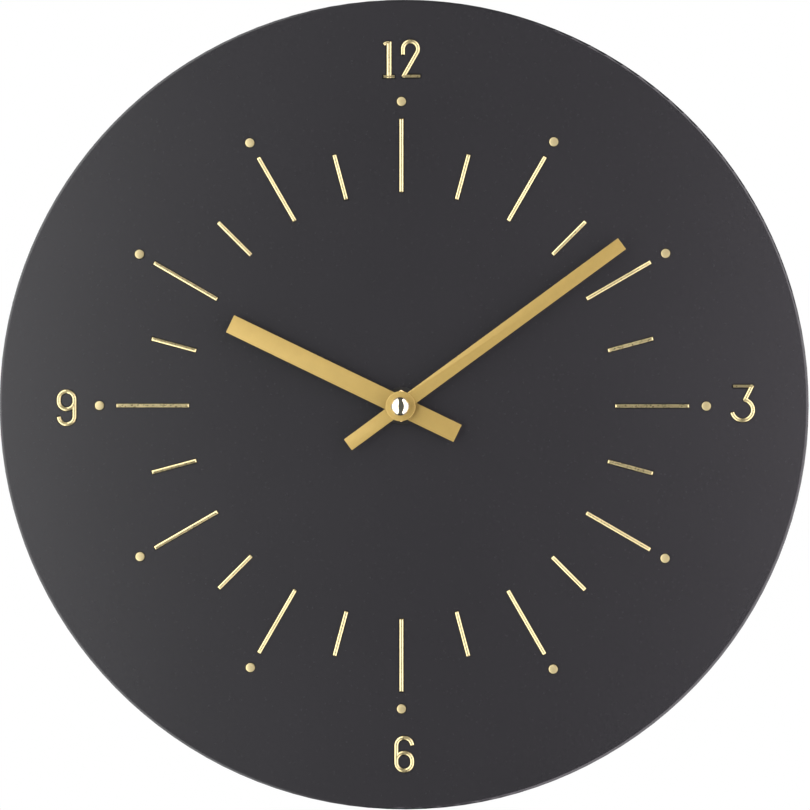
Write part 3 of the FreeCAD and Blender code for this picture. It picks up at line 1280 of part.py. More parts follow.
def check():
    for item in doc.Objects:
        if "Invalid" in item.State or "Error" in item.State:
            raise RuntimeError(f"{item.Label} failed: {item.State}")
    for item in parts:
        if item.Shape.isNull() or not item.Shape.isValid() or not item.Shape.Solids:
            raise RuntimeError(f"{item.Label} has no valid solid")


def write():
    os.makedirs("parts", exist_ok=True)
    for item in parts:
        item.Shape.exportStep(f"parts/{item.Label}.step")
        print(f"{item.Label}: {len(item.Shape.Solids)} solid(s), {item.Shape.Volume:.1f} mm3")


build()
check()
write()
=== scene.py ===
"""Looks of a round wall clock: a lacquered board dial with brass inlays and two gold hands.

Metres, +Z up, the wall is the plane Y = 0 and the dial faces -Y.  The pieces are drawn flat, face up,
with X to the right, Y up the dial and Z the height above the wall, and are then stood on the wall.
"""
import math

import bpy
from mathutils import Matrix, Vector


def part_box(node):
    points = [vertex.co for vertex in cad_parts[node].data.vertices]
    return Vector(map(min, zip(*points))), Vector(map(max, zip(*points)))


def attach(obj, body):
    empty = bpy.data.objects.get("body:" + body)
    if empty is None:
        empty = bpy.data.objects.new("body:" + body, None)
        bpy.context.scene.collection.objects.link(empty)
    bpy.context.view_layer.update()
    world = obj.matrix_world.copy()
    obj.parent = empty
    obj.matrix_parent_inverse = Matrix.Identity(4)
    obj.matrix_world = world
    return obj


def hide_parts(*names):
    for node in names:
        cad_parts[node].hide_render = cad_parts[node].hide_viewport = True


bl_info = {
    "name": "Round wall clock",
    "version": (1, 0, 0),
    "blender": (4, 5, 0),
    "location": "View3D > Sidebar > Clock",
    "description": "Models the brass, hands, movement and finishes of a round wall clock on its frame",
    "category": "Object",
}

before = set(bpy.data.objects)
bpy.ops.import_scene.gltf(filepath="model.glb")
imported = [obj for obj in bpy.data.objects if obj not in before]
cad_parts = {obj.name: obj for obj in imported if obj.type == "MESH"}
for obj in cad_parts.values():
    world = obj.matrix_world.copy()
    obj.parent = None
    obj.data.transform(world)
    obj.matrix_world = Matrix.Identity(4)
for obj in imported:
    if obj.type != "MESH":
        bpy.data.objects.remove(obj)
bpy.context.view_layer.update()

QUARTER = math.pi / 2
PAST = 0.001  # how far a cutting tool stands past what it cuts
HOURS = 12
HOUR_ANGLE = 2 * math.pi / HOURS


def levels(node):
    """Height above the wall of a frame node's rear and front."""
    low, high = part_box(node)
    return -high.y, -low.y


FACE = levels("dial_board")[1]
INLAY_LOW, INLAY_TOP = levels("hour_bars")


# ---------------------------------------------------------------- sizes and colours
def length(name, description, default):
    return bpy.props.FloatProperty(name=name, description=description, default=default, min=0,
                                   precision=5, subtype="DISTANCE", unit="LENGTH")


def angle(name, description, degrees):
    return bpy.props.FloatProperty(name=name, description=description, default=math.radians(degrees),
                                   subtype="ANGLE", unit="ROTATION")


def colour(name, description, default):
    return bpy.props.FloatVectorProperty(name=name, description=description, default=default,
                                         size=3, min=0, max=1, subtype="COLOR")


def share(name, description, default):
    return bpy.props.FloatProperty(name=name, description=description, default=default, min=0, max=1,
                                   subtype="FACTOR")


class InlaySizes(bpy.types.PropertyGroup):
    """Brass let into the dial."""
    bar_width: length("Bar width", "Width of the bars", 0.0013)
    start: length("Bar start", "Axis to the inner end of the bars", 0.079)
    hour_end: length("Hour bar end", "Axis to the outer end of the hour bars", 0.106)
    half_end: length("Half-hour bar end", "Axis to the outer end of the half-hour bars", 0.096)
    slope_depth: length("Slope depth", "Height of the sloping flanks", 0.00028)
    flat_share: share("Flat share", "Part of the width that is flat on top", 0.3)
    dot_ring: length("Dot ring", "Axis to the middle of the dots", 0.1124)
    dot_diameter: length("Dot diameter", "Diameter of the hour dots", 0.0033)
    stroke: length("Stroke", "Width of a numeral's line", 0.0013)
    thin_stroke: length("Thin stroke", "Width of a numeral's feet and flags", 0.000975)
    stem_stroke: length("Stem", "Width of the stem of the one", 0.0016)
    two_rise: length("Two rise", "Half the height of the centre line of the two", 0.0064)
    three_rise: length("Three rise", "Half the height of the centre line of the three", 0.0063)
    round_rise: length("Six and nine rise", "Half the height of their centre lines", 0.0061)
    numeral_width: length("Numeral width", "Width of a round numeral's centre line", 0.0059)


class HandSizes(bpy.types.PropertyGroup):
    """Hands and the parts that hold them."""
    hour_width: length("Hour hand width", "Width of the hour hand", 0.007)
    hour_reach: length("Hour hand reach", "Axis to the tip", 0.070)
    hour_tail: length("Hour hand tail", "Axis to the other end", 0.0232)
    hour_turn: angle("Hour hand turn", "Clockwise from upright", 295.7)
    minute_width: length("Minute hand width", "Width of the minute hand", 0.005)
    minute_reach: length("Minute hand reach", "Axis to the tip", 0.1006)
    minute_tail: length("Minute hand tail", "Axis to the other end", 0.0241)
    minute_turn: angle("Minute hand turn", "Clockwise from upright", 53.7)
    edge_bevel: length("Edge bevel", "Bevel along the edges of the hands", 0.0002)
    hour_eye: length("Hour hand eye", "Disc in the middle of the hour hand", 0.010)
    hub: length("Hub", "Raised disc on the minute hand", 0.011)
    hub_neck: length("Hub neck", "Riveted neck under the raised disc", 0.0046)
    cap: length("Cap nut", "Diameter of the domed nut", 0.0067)
    cap_dome: length("Cap dome", "Height of the dome above its rim", 0.002)
    thread: length("Thread", "Thread in the hub and the domed nut", 0.003)
    thread_depth: length("Thread depth", "Depth of the thread in the domed nut", 0.0034)


class BackSizes(bpy.types.PropertyGroup):
    """Rear cover, hanger and screws."""
    cover: length("Cover", "Thickness of the rear cover", 0.001)
    knob_well: length("Knob well", "Diameter of the well round the knob", 0.0112)
    knob_hole: length("Knob hole", "Diameter of the hole for the knob's shaft", 0.0033)
    relief: length("Relief", "Depth of the moulded marks", 0.00035)
    frame_inset: length("Frame inset", "Edge of the cover to its frame line", 0.0018)
    frame_line: length("Frame line", "Width of the frame line", 0.0005)
    arrow_ring: length("Arrow ring", "Radius of the ring round the knob", 0.0068)
    arrow: length("Arrow", "Size of the arrowheads", 0.0014)
    ribs: bpy.props.IntProperty(name="Ribs", description="Grooves across the cover", default=7, min=1)
    rib_left: length("Rib left", "Left edge of the cover to the grooves", 0.006)
    rib_length: length("Rib length", "Length of the grooves", 0.0245)
    rib_width: length("Rib width", "Width of the grooves", 0.0009)
    rib_start: length("Rib start", "Lower edge of the cover to the first groove", 0.013)
    rib_step: length("Rib step", "Distance between the grooves", 0.0026)
    mark: length("Mark", "Half the length of the polarity marks", 0.0018)
    mark_line: length("Mark line", "Width of the polarity marks", 0.0006)
    mark_up: length("Mark up", "Lower edge of the cover to the polarity marks", 0.0062)
    mark_side: length("Mark side", "Side of the cover to the polarity marks", 0.0075)
    screw_head: length("Screw head", "Diameter of the screw heads", 0.0066)
    screw_shank: length("Screw shank", "Diameter of the screw shanks", 0.003)
    screw_rim: length("Screw rim", "Straight rim of the screw heads", 0.0002)
    screw_point: length("Screw point", "Length of the screws' points", 0.003)
    screw_edge: length("Screw edge", "Rounding of the screws' edges", 0.00008)
    cross_share: share("Cross share", "Part of the screw head that the cross reaches over", 0.56)
    cross_width: length("Cross width", "Width of the arms of the cross", 0.0008)
    cross_depth: length("Cross depth", "Depth of the cross", 0.0012)
    plate_edge: length("Plate edge", "Rounding of the plate's edges", 0.00018)
    cover_edge: length("Cover edge", "Rounding of the rear cover's edges", 0.00025)
    pin_mark: length("Pin mark", "Diameter of the marks left by the mould's pins", 0.0024)
    pin_inset: length("Pin inset", "Corner of the cover to the first pin mark", 0.0045)
    pin_side: length("Pin side", "Right edge of the cover to the second pin mark", 0.0165)
    pin_up: length("Pin up", "Lower edge of the cover to the second pin mark", 0.0095)


class StageSizes(bpy.types.PropertyGroup):
    """Camera, lamps and floor."""
    camera_right: length("Camera right", "Camera to the right of the axis", 0.045)
    camera_away: length("Camera away", "Camera in front of the wall", 1.02)
    camera_up: length("Camera up", "Camera above the axis", 0.02)
    lens: bpy.props.FloatProperty(name="Lens", description="Focal length in millimetres", default=120.25,
                                  subtype="NONE")
    left_power: bpy.props.FloatProperty(name="Left lamp", description="Power of the left softbox",
                                        default=119.0, unit="POWER")
    right_power: bpy.props.FloatProperty(name="Right lamp", description="Power of the right softbox",
                                         default=50.0, unit="POWER")
    wash_power: bpy.props.FloatProperty(name="Wash", description="Power of the lamps for the board only",
                                        default=52.0, unit="POWER")
    floor_drop: length("Floor drop", "Floor below the axis", 1.3)
    left_wash_share: share("Left wash", "Power of the left board lamp, as a part of the right one", 0.45)
    rear_power: bpy.props.FloatProperty(name="Rear lamp", description="Power of the lamp behind the clock",
                                        default=16.0, unit="POWER")
    floor_size: length("Floor size", "Side of the square floor", 12.0)
    floor_glow: bpy.props.FloatProperty(name="Floor glow", default=0.55, min=0,
                                        description="Light that the floor gives off, to stay pale")


class Colours(bpy.types.PropertyGroup):
    """Base colours of the finishes."""
    lacquer: colour("Lacquer", "Satin anthracite of the dial", (0.011, 0.0107, 0.012))
    brass: colour("Brass", "Polished brass of the inlays", (0.66, 0.55, 0.29))
    gold: colour("Gold", "Satin gold of the hands", (0.45, 0.31, 0.088))
    dome: colour("Dome", "Pale polished cap nut", (0.93, 0.86, 0.68))


class ClockSettings(bpy.types.PropertyGroup):
    """Everything that the sidebar shows."""
    inlay: bpy.props.PointerProperty(type=InlaySizes)
    hands: bpy.props.PointerProperty(type=HandSizes)
    back: bpy.props.PointerProperty(type=BackSizes)
    stage: bpy.props.PointerProperty(type=StageSizes)
    colours: bpy.props.PointerProperty(type=Colours)


def settings():
    return bpy.context.scene.wall_clock


# ---------------------------------------------------------------- finishes
FINISHES = {}


def blank_finish(name):
    """A material with only its shader and output, and the place on the piece to draw from."""
    material = bpy.data.materials.new("clock_" + name)
    material.use_nodes = True
    nodes = material.node_tree.nodes
    nodes.clear()
    shader = nodes.new("ShaderNodeBsdfPrincipled")
    output = nodes.new("ShaderNodeOutputMaterial")
    place = nodes.new("ShaderNodeTexCoord")
    material.node_tree.links.new(shader.outputs["BSDF"], output.inputs["Surface"])
    return material, shader, place.outputs["Object"]


def joined(material, kind, place=None, **values):
    """A new node, fed with a place, with its plain sockets set."""
    node = material.node_tree.nodes.new(kind)
    if place is not None:
        material.node_tree.links.new(place, node.inputs["Vector"])
    for key, value in values.items():
        if key in node.inputs:
            node.inputs[key].default_value = value
        else:
            setattr(node, key, value)
    return node


def stretched(material, place, scale):
    return joined(material, "ShaderNodeMapping", place, Scale=scale).outputs["Vector"]


def spread(material, value, low, high, start=0.25, end=0.75):
    """A value between two numbers that follows a pattern."""
    node = joined(material, "ShaderNodeMapRange")
    for key, number in (("From Min", start), ("From Max", end), ("To Min", low), ("To Max", high)):
        node.inputs[key].default_value = number
    material.node_tree.links.new(value, node.inputs["Value"])
    return node.outputs["Result"]


def tinted(material, value, low, high, start=0.3, end=0.7):
    """A colour between two colours that follows a pattern."""
    ramp = joined(material, "ShaderNodeValToRGB")
    ramp.color_ramp.elements[0].position = start
    ramp.color_ramp.elements[1].position = end
    ramp.color_ramp.elements[0].color = (*low, 1)
    ramp.color_ramp.elements[1].color = (*high, 1)
    material.node_tree.links.new(value, ramp.inputs["Fac"])
    return ramp.outputs["Color"]


def raised(material, shader, height, distance, strength=1.0, under=None):
    bump = joined(material, "ShaderNodeBump", Distance=distance, Strength=strength)
    material.node_tree.links.new(height, bump.inputs["Height"])
    if under is not None:
        material.node_tree.links.new(under, bump.inputs["Normal"])
    material.node_tree.links.new(bump.outputs["Normal"], shader.inputs["Normal"])
    return bump.outputs["Normal"]


def shade(base, factor):
    return tuple(min(1.0, part * factor) for part in base)


def surface(name, base, rough, metallic=0.0, mottle=0.12, grain=900.0, depth=0.00001, streaks=None,
            rough_spread=0.06, coat=0.0, specular=0.5):
    """A finish whose colour, gloss and fine relief vary over the piece."""
    material, shader, place = blank_finish(name)
    link = material.node_tree.links.new
    shader.inputs["Metallic"].default_value = metallic
    shader.inputs["Coat Weight"].default_value = coat
    shader.inputs["Specular IOR Level"].default_value = specular
    broad = joined(material, "ShaderNodeTexNoise", place, Scale=grain / 9, Detail=4.0).outputs["Fac"]
    fine_place = stretched(material, place, streaks) if streaks else place
    fine = joined(material, "ShaderNodeTexNoise", fine_place, Scale=grain, Detail=3.0).outputs["Fac"]
    link(tinted(material, broad, shade(base, 1 - mottle), shade(base, 1 + mottle)),
         shader.inputs["Base Color"])
    link(spread(material, fine, rough - rough_spread, rough + rough_spread), shader.inputs["Roughness"])
    raised(material, shader, fine, depth)
    return material, shader, place


def lacquer_finish():
    """Satin lacquer on the face, a matt sprayed back, and raw fibreboard in the pocket."""
    base = tuple(settings().colours.lacquer)
    material, shader, place = blank_finish("black_lacquer")
    link = material.node_tree.links.new
    broad = joined(material, "ShaderNodeTexNoise", place, Scale=14.0, Detail=3.0).outputs["Fac"]
    peel = joined(material, "ShaderNodeTexNoise", place, Scale=900.0, Detail=2.0).outputs["Fac"]
    fibre = joined(material, "ShaderNodeTexNoise", stretched(material, place, (1, 0.2, 1)), Scale=1700.0,
                   Detail=6.0).outputs["Fac"]
    axes = joined(material, "ShaderNodeSeparateXYZ", place)
    pocket_margin, web, back_edge = 0.0012, 0.002, 0.0008
    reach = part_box("movement_case")[1].x + pocket_margin
    inside = within(material, axes.outputs["X"], -reach, reach)
    inside = both(material, inside, within(material, axes.outputs["Z"], -reach, reach))
    inside = both(material, inside, within(material, axes.outputs["Y"], -FACE + web, -back_edge / 4))
    paint = tinted(material, broad, shade(base, 0.94), shade(base, 1.06))
    raw = tinted(material, fibre, (0.20, 0.125, 0.068), (0.36, 0.24, 0.14))
    link(blended(material, inside, paint, raw, "RGBA"), shader.inputs["Base Color"])
    behind = within(material, axes.outputs["Y"], -back_edge, 1)
    gloss = spread(material, peel, 0.22, 0.28)
    matt = spread(material, fibre, 0.46, 0.62)
    link(blended(material, behind, gloss, matt, "FLOAT"), shader.inputs["Roughness"])
    face_relief = raised(material, shader, peel, 0.000004)
    raised(material, shader, both(material, behind, fibre), 0.00003, under=face_relief)
    return material


def within(material, value, low, high):
    """One where a value lies between two limits, and nought elsewhere."""
    middle = joined(material, "ShaderNodeMath", operation="COMPARE")
    material.node_tree.links.new(value, middle.inputs[0])
    middle.inputs[1].default_value = (low + high) / 2
    middle.inputs[2].default_value = (high - low) / 2
    return middle.outputs[0]


def both(material, first, second):
    """The product of two masks."""
    node = joined(material, "ShaderNodeMath", operation="MULTIPLY")
    material.node_tree.links.new(first, node.inputs[0])
    material.node_tree.links.new(second, node.inputs[1])
    return node.outputs[0]


def blended(material, mask, outside, inside, kind):
    """One value or colour outside a mask, and another inside it."""
    mix = joined(material, "ShaderNodeMix", data_type=kind)
    first = {"RGBA": 6, "FLOAT": 2}[kind]
    link = material.node_tree.links.new
    link(mask, mix.inputs["Factor"])
    link(outside, mix.inputs[first])
    link(inside, mix.inputs[first + 1])
    return mix.outputs[{"RGBA": 2, "FLOAT": 0}[kind]]


def brass_finish(name, rough, metallic, mottle, depth):
    """Polished brass, hand cut and slightly pitted."""
    return surface(name, tuple(settings().colours.brass), rough, metallic=metallic, mottle=mottle,
                   grain=1500.0, depth=depth, rough_spread=0.07)[0]


def gold_finish():
    """Satin gold sheet with a very fine grain."""
    return surface("gold_hand", tuple(settings().colours.gold), 0.5, metallic=0.3, mottle=0.03,
                   grain=2600.0, depth=0.000003, rough_spread=0.04)[0]


def winding_finish():
    """Enamelled copper wire, turn beside turn along the coil."""
    material, shader, place = blank_finish("copper_wire")
    link = material.node_tree.links.new
    turns = joined(material, "ShaderNodeTexWave", place, wave_type="BANDS", bands_direction="X",
                   Scale=1500.0, Distortion=0.4, Detail=1.0).outputs["Fac"]
    broad = joined(material, "ShaderNodeTexNoise", place, Scale=300.0).outputs["Fac"]
    link(tinted(material, broad, (0.48, 0.17, 0.07), (0.62, 0.26, 0.11)), shader.inputs["Base Color"])
    shader.inputs["Metallic"].default_value = 0.9
    link(spread(material, turns, 0.25, 0.4), shader.inputs["Roughness"])
    raised(material, shader, turns, 0.00006)
    return material


def sleeve_finish():
    """Printed sleeve of a plain cell: blue-grey body and a pale band at the positive end."""
    material, shader, place = blank_finish("battery_sleeve")
    link = material.node_tree.links.new
    low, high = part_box("battery_jacket")
    axis = joined(material, "ShaderNodeSeparateXYZ", place)
    band = joined(material, "ShaderNodeMapRange")
    link(axis.outputs["X"], band.inputs["Value"])
    edge = high.x - (high.x - low.x) * 0.12
    band.inputs["From Min"].default_value = edge
    band.inputs["From Max"].default_value = edge + 0.0002
    broad = joined(material, "ShaderNodeTexNoise", place, Scale=420.0, Detail=3.0).outputs["Fac"]
    ramp = tinted(material, band.outputs["Result"], (0.035, 0.085, 0.15), (0.46, 0.48, 0.49), 0.4, 0.6)
    link(ramp, shader.inputs["Base Color"])
    shader.inputs["Metallic"].default_value = 0.35
    link(spread(material, broad, 0.24, 0.36), shader.inputs["Roughness"])
    raised(material, shader, broad, 0.000006)
    return material


def make_finishes():
    """One finish for each material slot of the record."""
    plain = {
        "polished_brass": dict(base=tuple(settings().colours.dome), rough=0.07, metallic=1.0, mottle=0.03,
                               grain=1400.0, depth=0.0000015, rough_spread=0.02),
        "bush_brass": dict(base=(0.78, 0.58, 0.28), rough=0.24, metallic=1.0, mottle=0.06, grain=1300.0,
                           depth=0.000006, streaks=(1, 0.1, 1)),
        "zinc_steel": dict(base=(0.40, 0.41, 0.42), rough=0.46, metallic=1.0, mottle=0.12, grain=700.0,
                           depth=0.00001, rough_spread=0.09),
        "screw_steel": dict(base=(0.70, 0.66, 0.50), rough=0.26, metallic=1.0, mottle=0.08, grain=1200.0,
                            depth=0.000006),
        "bright_steel": dict(base=(0.72, 0.72, 0.71), rough=0.2, metallic=1.0, mottle=0.04, grain=2000.0,
                             depth=0.000004, streaks=(0.15, 1, 0.15)),
        "nickel_contact": dict(base=(0.70, 0.68, 0.64), rough=0.22, metallic=1.0, mottle=0.05, grain=1500.0,
                               depth=0.000006),
        "motor_iron": dict(base=(0.46, 0.47, 0.49), rough=0.38, metallic=1.0, mottle=0.1, grain=1200.0,
                           depth=0.00001, streaks=(1, 0.2, 0.2)),
        "magnet": dict(base=(0.10, 0.10, 0.11), rough=0.5, metallic=0.6, mottle=0.15, grain=1600.0,
                       depth=0.00002),
        "rubber_pad": dict(base=(0.022, 0.022, 0.022), rough=0.78, mottle=0.2, grain=1500.0, depth=0.00004,
                           specular=0.3),
        "black_case": dict(base=(0.026, 0.026, 0.027), rough=0.44, mottle=0.12, grain=2600.0, depth=0.00002,
                           rough_spread=0.08),
        "white_moulding": dict(base=(0.78, 0.77, 0.73), rough=0.42, mottle=0.03, grain=1800.0,
                               depth=0.000008),
        "board_green": dict(base=(0.030, 0.15, 0.060), rough=0.36, mottle=0.15, grain=1100.0,
                            depth=0.00002, coat=0.3),
        "black_epoxy": dict(base=(0.014, 0.014, 0.015), rough=0.18, mottle=0.1, grain=500.0, depth=0.00002),
    }
    for name, values in plain.items():
        FINISHES[name] = surface(name, **values)[0]
    FINISHES["black_lacquer"] = lacquer_finish()
    FINISHES["brass_inlay"] = brass_finish("brass_inlay", 0.30, 0.85, 0.10, 0.000004)
    FINISHES["brass_dot"] = brass_finish("brass_dot", 0.42, 0.55, 0.16, 0.00001)
    FINISHES["gold_hand"] = gold_finish()
    FINISHES["copper_wire"] = winding_finish()
    FINISHES["battery_sleeve"] = sleeve_finish()


# ---------------------------------------------------------------- modelling helpers
def clear_selection():
    if bpy.context.object is not None and bpy.context.object.mode != "OBJECT":
        bpy.ops.object.mode_set(mode="OBJECT")
    bpy.ops.object.select_all(action="DESELECT")


def bake_place():
    bpy.ops.object.transform_apply(location=True, rotation=True, scale=True)


def edit(chosen):
    """Enter edit mode on the active piece with the chosen kind selected and nothing picked."""
    bpy.ops.object.mode_set(mode="EDIT")
    bpy.ops.mesh.select_mode(type=chosen)
    bpy.ops.mesh.select_all(action="DESELECT")
    bpy.ops.object.mode_set(mode="OBJECT")


def pick(piece, kind, test):
    """Select in edit mode the vertices, the edges by both ends, or the faces, that pass a test."""
    edit({"v": "VERT", "e": "EDGE", "f": "FACE"}[kind])
    mesh = piece.data
    if kind == "v":
        for vertex in mesh.vertices:
            vertex.select = test(vertex.co)
    elif kind == "e":
        for item in mesh.edges:
            ends = [mesh.vertices[index].co for index in item.vertices]
            item.select = test(ends[0]) and test(ends[1])
    else:
        for face in mesh.polygons:
            face.select = test(face)
    bpy.ops.object.mode_set(mode="EDIT")


def done():
    bpy.ops.object.mode_set(mode="OBJECT")
    return bpy.context.object


def only(piece):
    clear_selection()
    piece.select_set(True)
    bpy.context.view_layer.objects.active = piece


def apply(piece, kind, **values):
    """Add one modifier to a piece and apply it."""
    only(piece)
    modifier = piece.modifiers.new(kind.lower(), kind)
    for key, value in values.items():
        setattr(modifier, key, value)
    bpy.ops.object.modifier_apply(modifier=modifier.name)
    return piece


def bevelled(piece, width, segments=3, limit=30.0):
    return apply(piece, "BEVEL", width=width, segments=segments, limit_method="ANGLE",
                 angle_limit=math.radians(limit), use_clamp_overlap=True, harden_normals=False)


def united(pieces):
    """Weld closed solids into one."""
    first = pieces[0]
    for other in pieces[1:]:
        apply(first, "BOOLEAN", operation="UNION", object=other, solver="EXACT")
        bpy.data.objects.remove(other)
    return first


def carved(piece, tools):
    for tool in tools:
        apply(piece, "BOOLEAN", operation="DIFFERENCE", object=tool, solver="EXACT")
        bpy.data.objects.remove(tool)
    return piece


def disc(diameter, low, top, at=(0, 0), sides=96):
    """A round blank, face up."""
    clear_selection()
    bpy.ops.mesh.primitive_cylinder_add(vertices=sides, radius=diameter / 2, depth=top - low,
                                        location=(at[0], at[1], (low + top) / 2))
    bake_place()
    return bpy.context.object


def slab(left, right, bottom, top, low, high):
    """A square-edged blank, face up."""
    clear_selection()
    bpy.ops.mesh.primitive_cube_add(size=1, location=((left + right) / 2, (bottom + top) / 2,
                                                      (low + high) / 2))
    bpy.context.object.scale = (right - left, top - bottom, high - low)
    bake_place()
    return bpy.context.object


def turn_flat(piece, clockwise):
    """Turn a piece about the dial's axis while it still lies face up."""
    only(piece)
    piece.rotation_euler = (0, 0, -clockwise)
    bake_place()
    return piece


def moved_flat(piece, right, up):
    only(piece)
    piece.location = (right, up, 0)
    bake_place()
    return piece


def copied(piece):
    clear_selection()
    twin = piece.copy()
    twin.data = piece.data.copy()
    bpy.context.collection.objects.link(twin)
    return twin


def merged(pieces):
    """Join separate solids into one object."""
    clear_selection()
    for piece in pieces:
        piece.select_set(True)
    bpy.context.view_layer.objects.active = pieces[0]
    if len(pieces) > 1:
        bpy.ops.object.join()
    return pieces[0]


def tidy(piece):
    """Weld doubles and turn every face outwards."""
    only(piece)
    bpy.ops.object.mode_set(mode="EDIT")
    bpy.ops.mesh.select_all(action="SELECT")
    bpy.ops.mesh.remove_doubles(threshold=1e-7)
    bpy.ops.mesh.normals_make_consistent(inside=False)
    bpy.ops.object.mode_set(mode="OBJECT")
    return piece


def finished(piece, name, body, nodes, slot, smooth=30.0, stand=True, finish=None):
    """Stand a piece on the wall, and give it its name, body and finish."""
    tidy(piece)
    if stand:
        piece.rotation_euler = (QUARTER, 0, 0)
        bake_place()
    bpy.ops.object.shade_smooth_by_angle(angle=math.radians(smooth))
    piece.name = name
    piece.data.name = name
    piece.data.materials.clear()
    piece.data.materials.append(FINISHES[finish or slot])
    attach(piece, body)
    if nodes:
        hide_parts(*nodes)
    return piece


# ---------------------------------------------------------------- brass inlays
def inlay_bar(start, end, width):
    """One brass bar, upright above the axis: sloping flanks and ends round a narrow flat."""
    sizes = settings().inlay
    shoulder = INLAY_TOP - sizes.slope_depth
    bar = slab(-width / 2, width / 2, start, end, INLAY_LOW, shoulder)
    middle = (start + end) / 2
    pick(bar, "f", lambda face: face.normal.z > 0.9)
    bpy.ops.mesh.extrude_region_move(TRANSFORM_OT_translate={"value": (0, 0, sizes.slope_depth)})
    slope = width * (1 - sizes.flat_share) / 2
    bpy.ops.transform.resize(value=(sizes.flat_share, 1 - 2 * slope / (end - start), 1),
                             center_override=(0, middle, INLAY_TOP))
    return done()


def ring_of(piece, turns):
    """Copies of a piece round the dial, as one object."""
    copies = [turn_flat(copied(piece), turn) for turn in turns]
    bpy.data.objects.remove(piece)
    return merged(copies)


class WALLCLOCK_OT_hour_marks(bpy.types.Operator):
    """Brass bars and dots of the hours and half hours"""
    bl_idname = "wallclock.hour_marks"
    bl_label = "Hour marks"

    def execute(self, context):
        sizes = settings().inlay
        hours = [hour * HOUR_ANGLE for hour in range(HOURS)]
        halves = [turn + HOUR_ANGLE / 2 for turn in hours]
        bars = ring_of(inlay_bar(sizes.start, sizes.hour_end, sizes.bar_width), hours)
        finished(bars, "brass_hour_bars", "clock", ["hour_bars"], "brass_inlay")
        bars = ring_of(inlay_bar(sizes.start, sizes.half_end, sizes.bar_width), halves)
        finished(bars, "brass_half_hour_bars", "clock", ["half_hour_bars"], "brass_inlay")
        dot = disc(sizes.dot_diameter, INLAY_LOW, INLAY_TOP, (0, sizes.dot_ring), 40)
        pick(dot, "f", lambda face: face.normal.z > 0.9)
        for inset, drop in ((0.00022, 0.00012), (0.0002, 0.00004)):
            bpy.ops.transform.translate(value=(0, 0, -drop))
            bpy.ops.mesh.inset(thickness=inset, depth=0)
            bpy.ops.transform.translate(value=(0, 0, drop))
        dots = ring_of(done(), hours)
        finished(dots, "brass_hour_dots", "clock", ["hour_dots"], "brass_inlay", 50.0, finish="brass_dot")
        return {"FINISHED"}


def stroke(start, heading, width, path, run_on=0.0):
    """One brass line: a roofed section stood at the start and drawn along straights and arcs.

    The path holds ("on", length) and ("arc", radius, turn) steps, where a turn is anticlockwise."""
    sizes = settings().inlay
    x, y = start
    x -= math.cos(heading) * run_on
    y -= math.sin(heading) * run_on
    shoulder = INLAY_TOP - sizes.slope_depth
    clear_selection()
    bpy.ops.mesh.primitive_plane_add(size=1, location=(x, y, (INLAY_LOW + shoulder) / 2),
                                     rotation=(QUARTER, 0, heading + QUARTER))
    piece = bpy.context.object
    piece.scale = (width, shoulder - INLAY_LOW, 1)
    bake_place()
    pick(piece, "e", lambda spot: spot.z > shoulder - 1e-6)
    bpy.ops.mesh.extrude_region_move(TRANSFORM_OT_translate={"value": (0, 0, sizes.slope_depth)})
    bpy.ops.transform.resize(value=(sizes.flat_share, sizes.flat_share, 1),
                             center_override=(x, y, INLAY_TOP))
    bpy.ops.mesh.select_mode(type="FACE")
    bpy.ops.mesh.select_all(action="SELECT")
    steps = [("on", run_on)] * (run_on > 0) + list(path) + [("on", run_on)] * (run_on > 0)
    for step in steps:
        if step[0] == "on":
            run = (math.cos(heading) * step[1], math.sin(heading) * step[1], 0)
            bpy.ops.mesh.extrude_region_move(TRANSFORM_OT_translate={"value": run})
            x += run[0]
            y += run[1]
            continue
        radius, turn = step[1], math.radians(step[2])
        side = math.copysign(1, turn)
        centre = (x - math.sin(heading) * radius * side, y + math.cos(heading) * radius * side)
        bpy.ops.mesh.spin(steps=max(4, round(abs(turn) / 0.12)), angle=-turn, center=(*centre, 0),
                          axis=(0, 0, 1))
        heading += turn
        x = centre[0] + math.sin(heading) * radius * side
        y = centre[1] - math.cos(heading) * radius * side
    return tidy(done())


def straight(start, end, width, run_on=0.0):
    """A straight brass line between two places."""
    across, up = end[0] - start[0], end[1] - start[1]
    return stroke(start, math.atan2(up, across), width, [("on", math.hypot(across, up))], run_on)


def on_arc(centre, radius, degrees):
    return (centre[0] + radius * math.cos(math.radians(degrees)),
            centre[1] + radius * math.sin(math.radians(degrees)))


def figure_one(top, middle):
    sizes = settings().inlay
    thin, stroke_width = sizes.thin_stroke, sizes.stroke
    radius = top * 0.3
    centre = (middle - radius * 0.2, top - radius - thin / 2)
    foot = top * 0.25
    foot_up = -top - (stroke_width - thin) / 2
    flag = stroke(on_arc(centre, radius, 130), math.radians(40), thin, [("arc", radius, -50)], 0.0004)
    stem = straight((middle, -top), (middle, top - stroke_width * 0.65), sizes.stem_stroke, 0.0007)
    return [stem, flag, straight((middle - foot, foot_up), (middle + foot, foot_up), thin, 0.0004)]


def figure_two(top, left, width):
    sizes = settings().inlay
    radius = width / 2
    centre = (left + radius, top - radius)
    rise = radius * 0.6
    down = 30
    corner = (left + 0.0002, -top)
    arch = stroke((left, centre[1] - rise), QUARTER, sizes.stroke,
                  [("on", rise), ("arc", radius, -180 - down)], 0.0004)
    return [arch, straight(on_arc(centre, radius, -down), corner, sizes.stroke, 0.0003),
            straight(corner, (left + width * 1.08, -top), sizes.thin_stroke, 0.0004)]


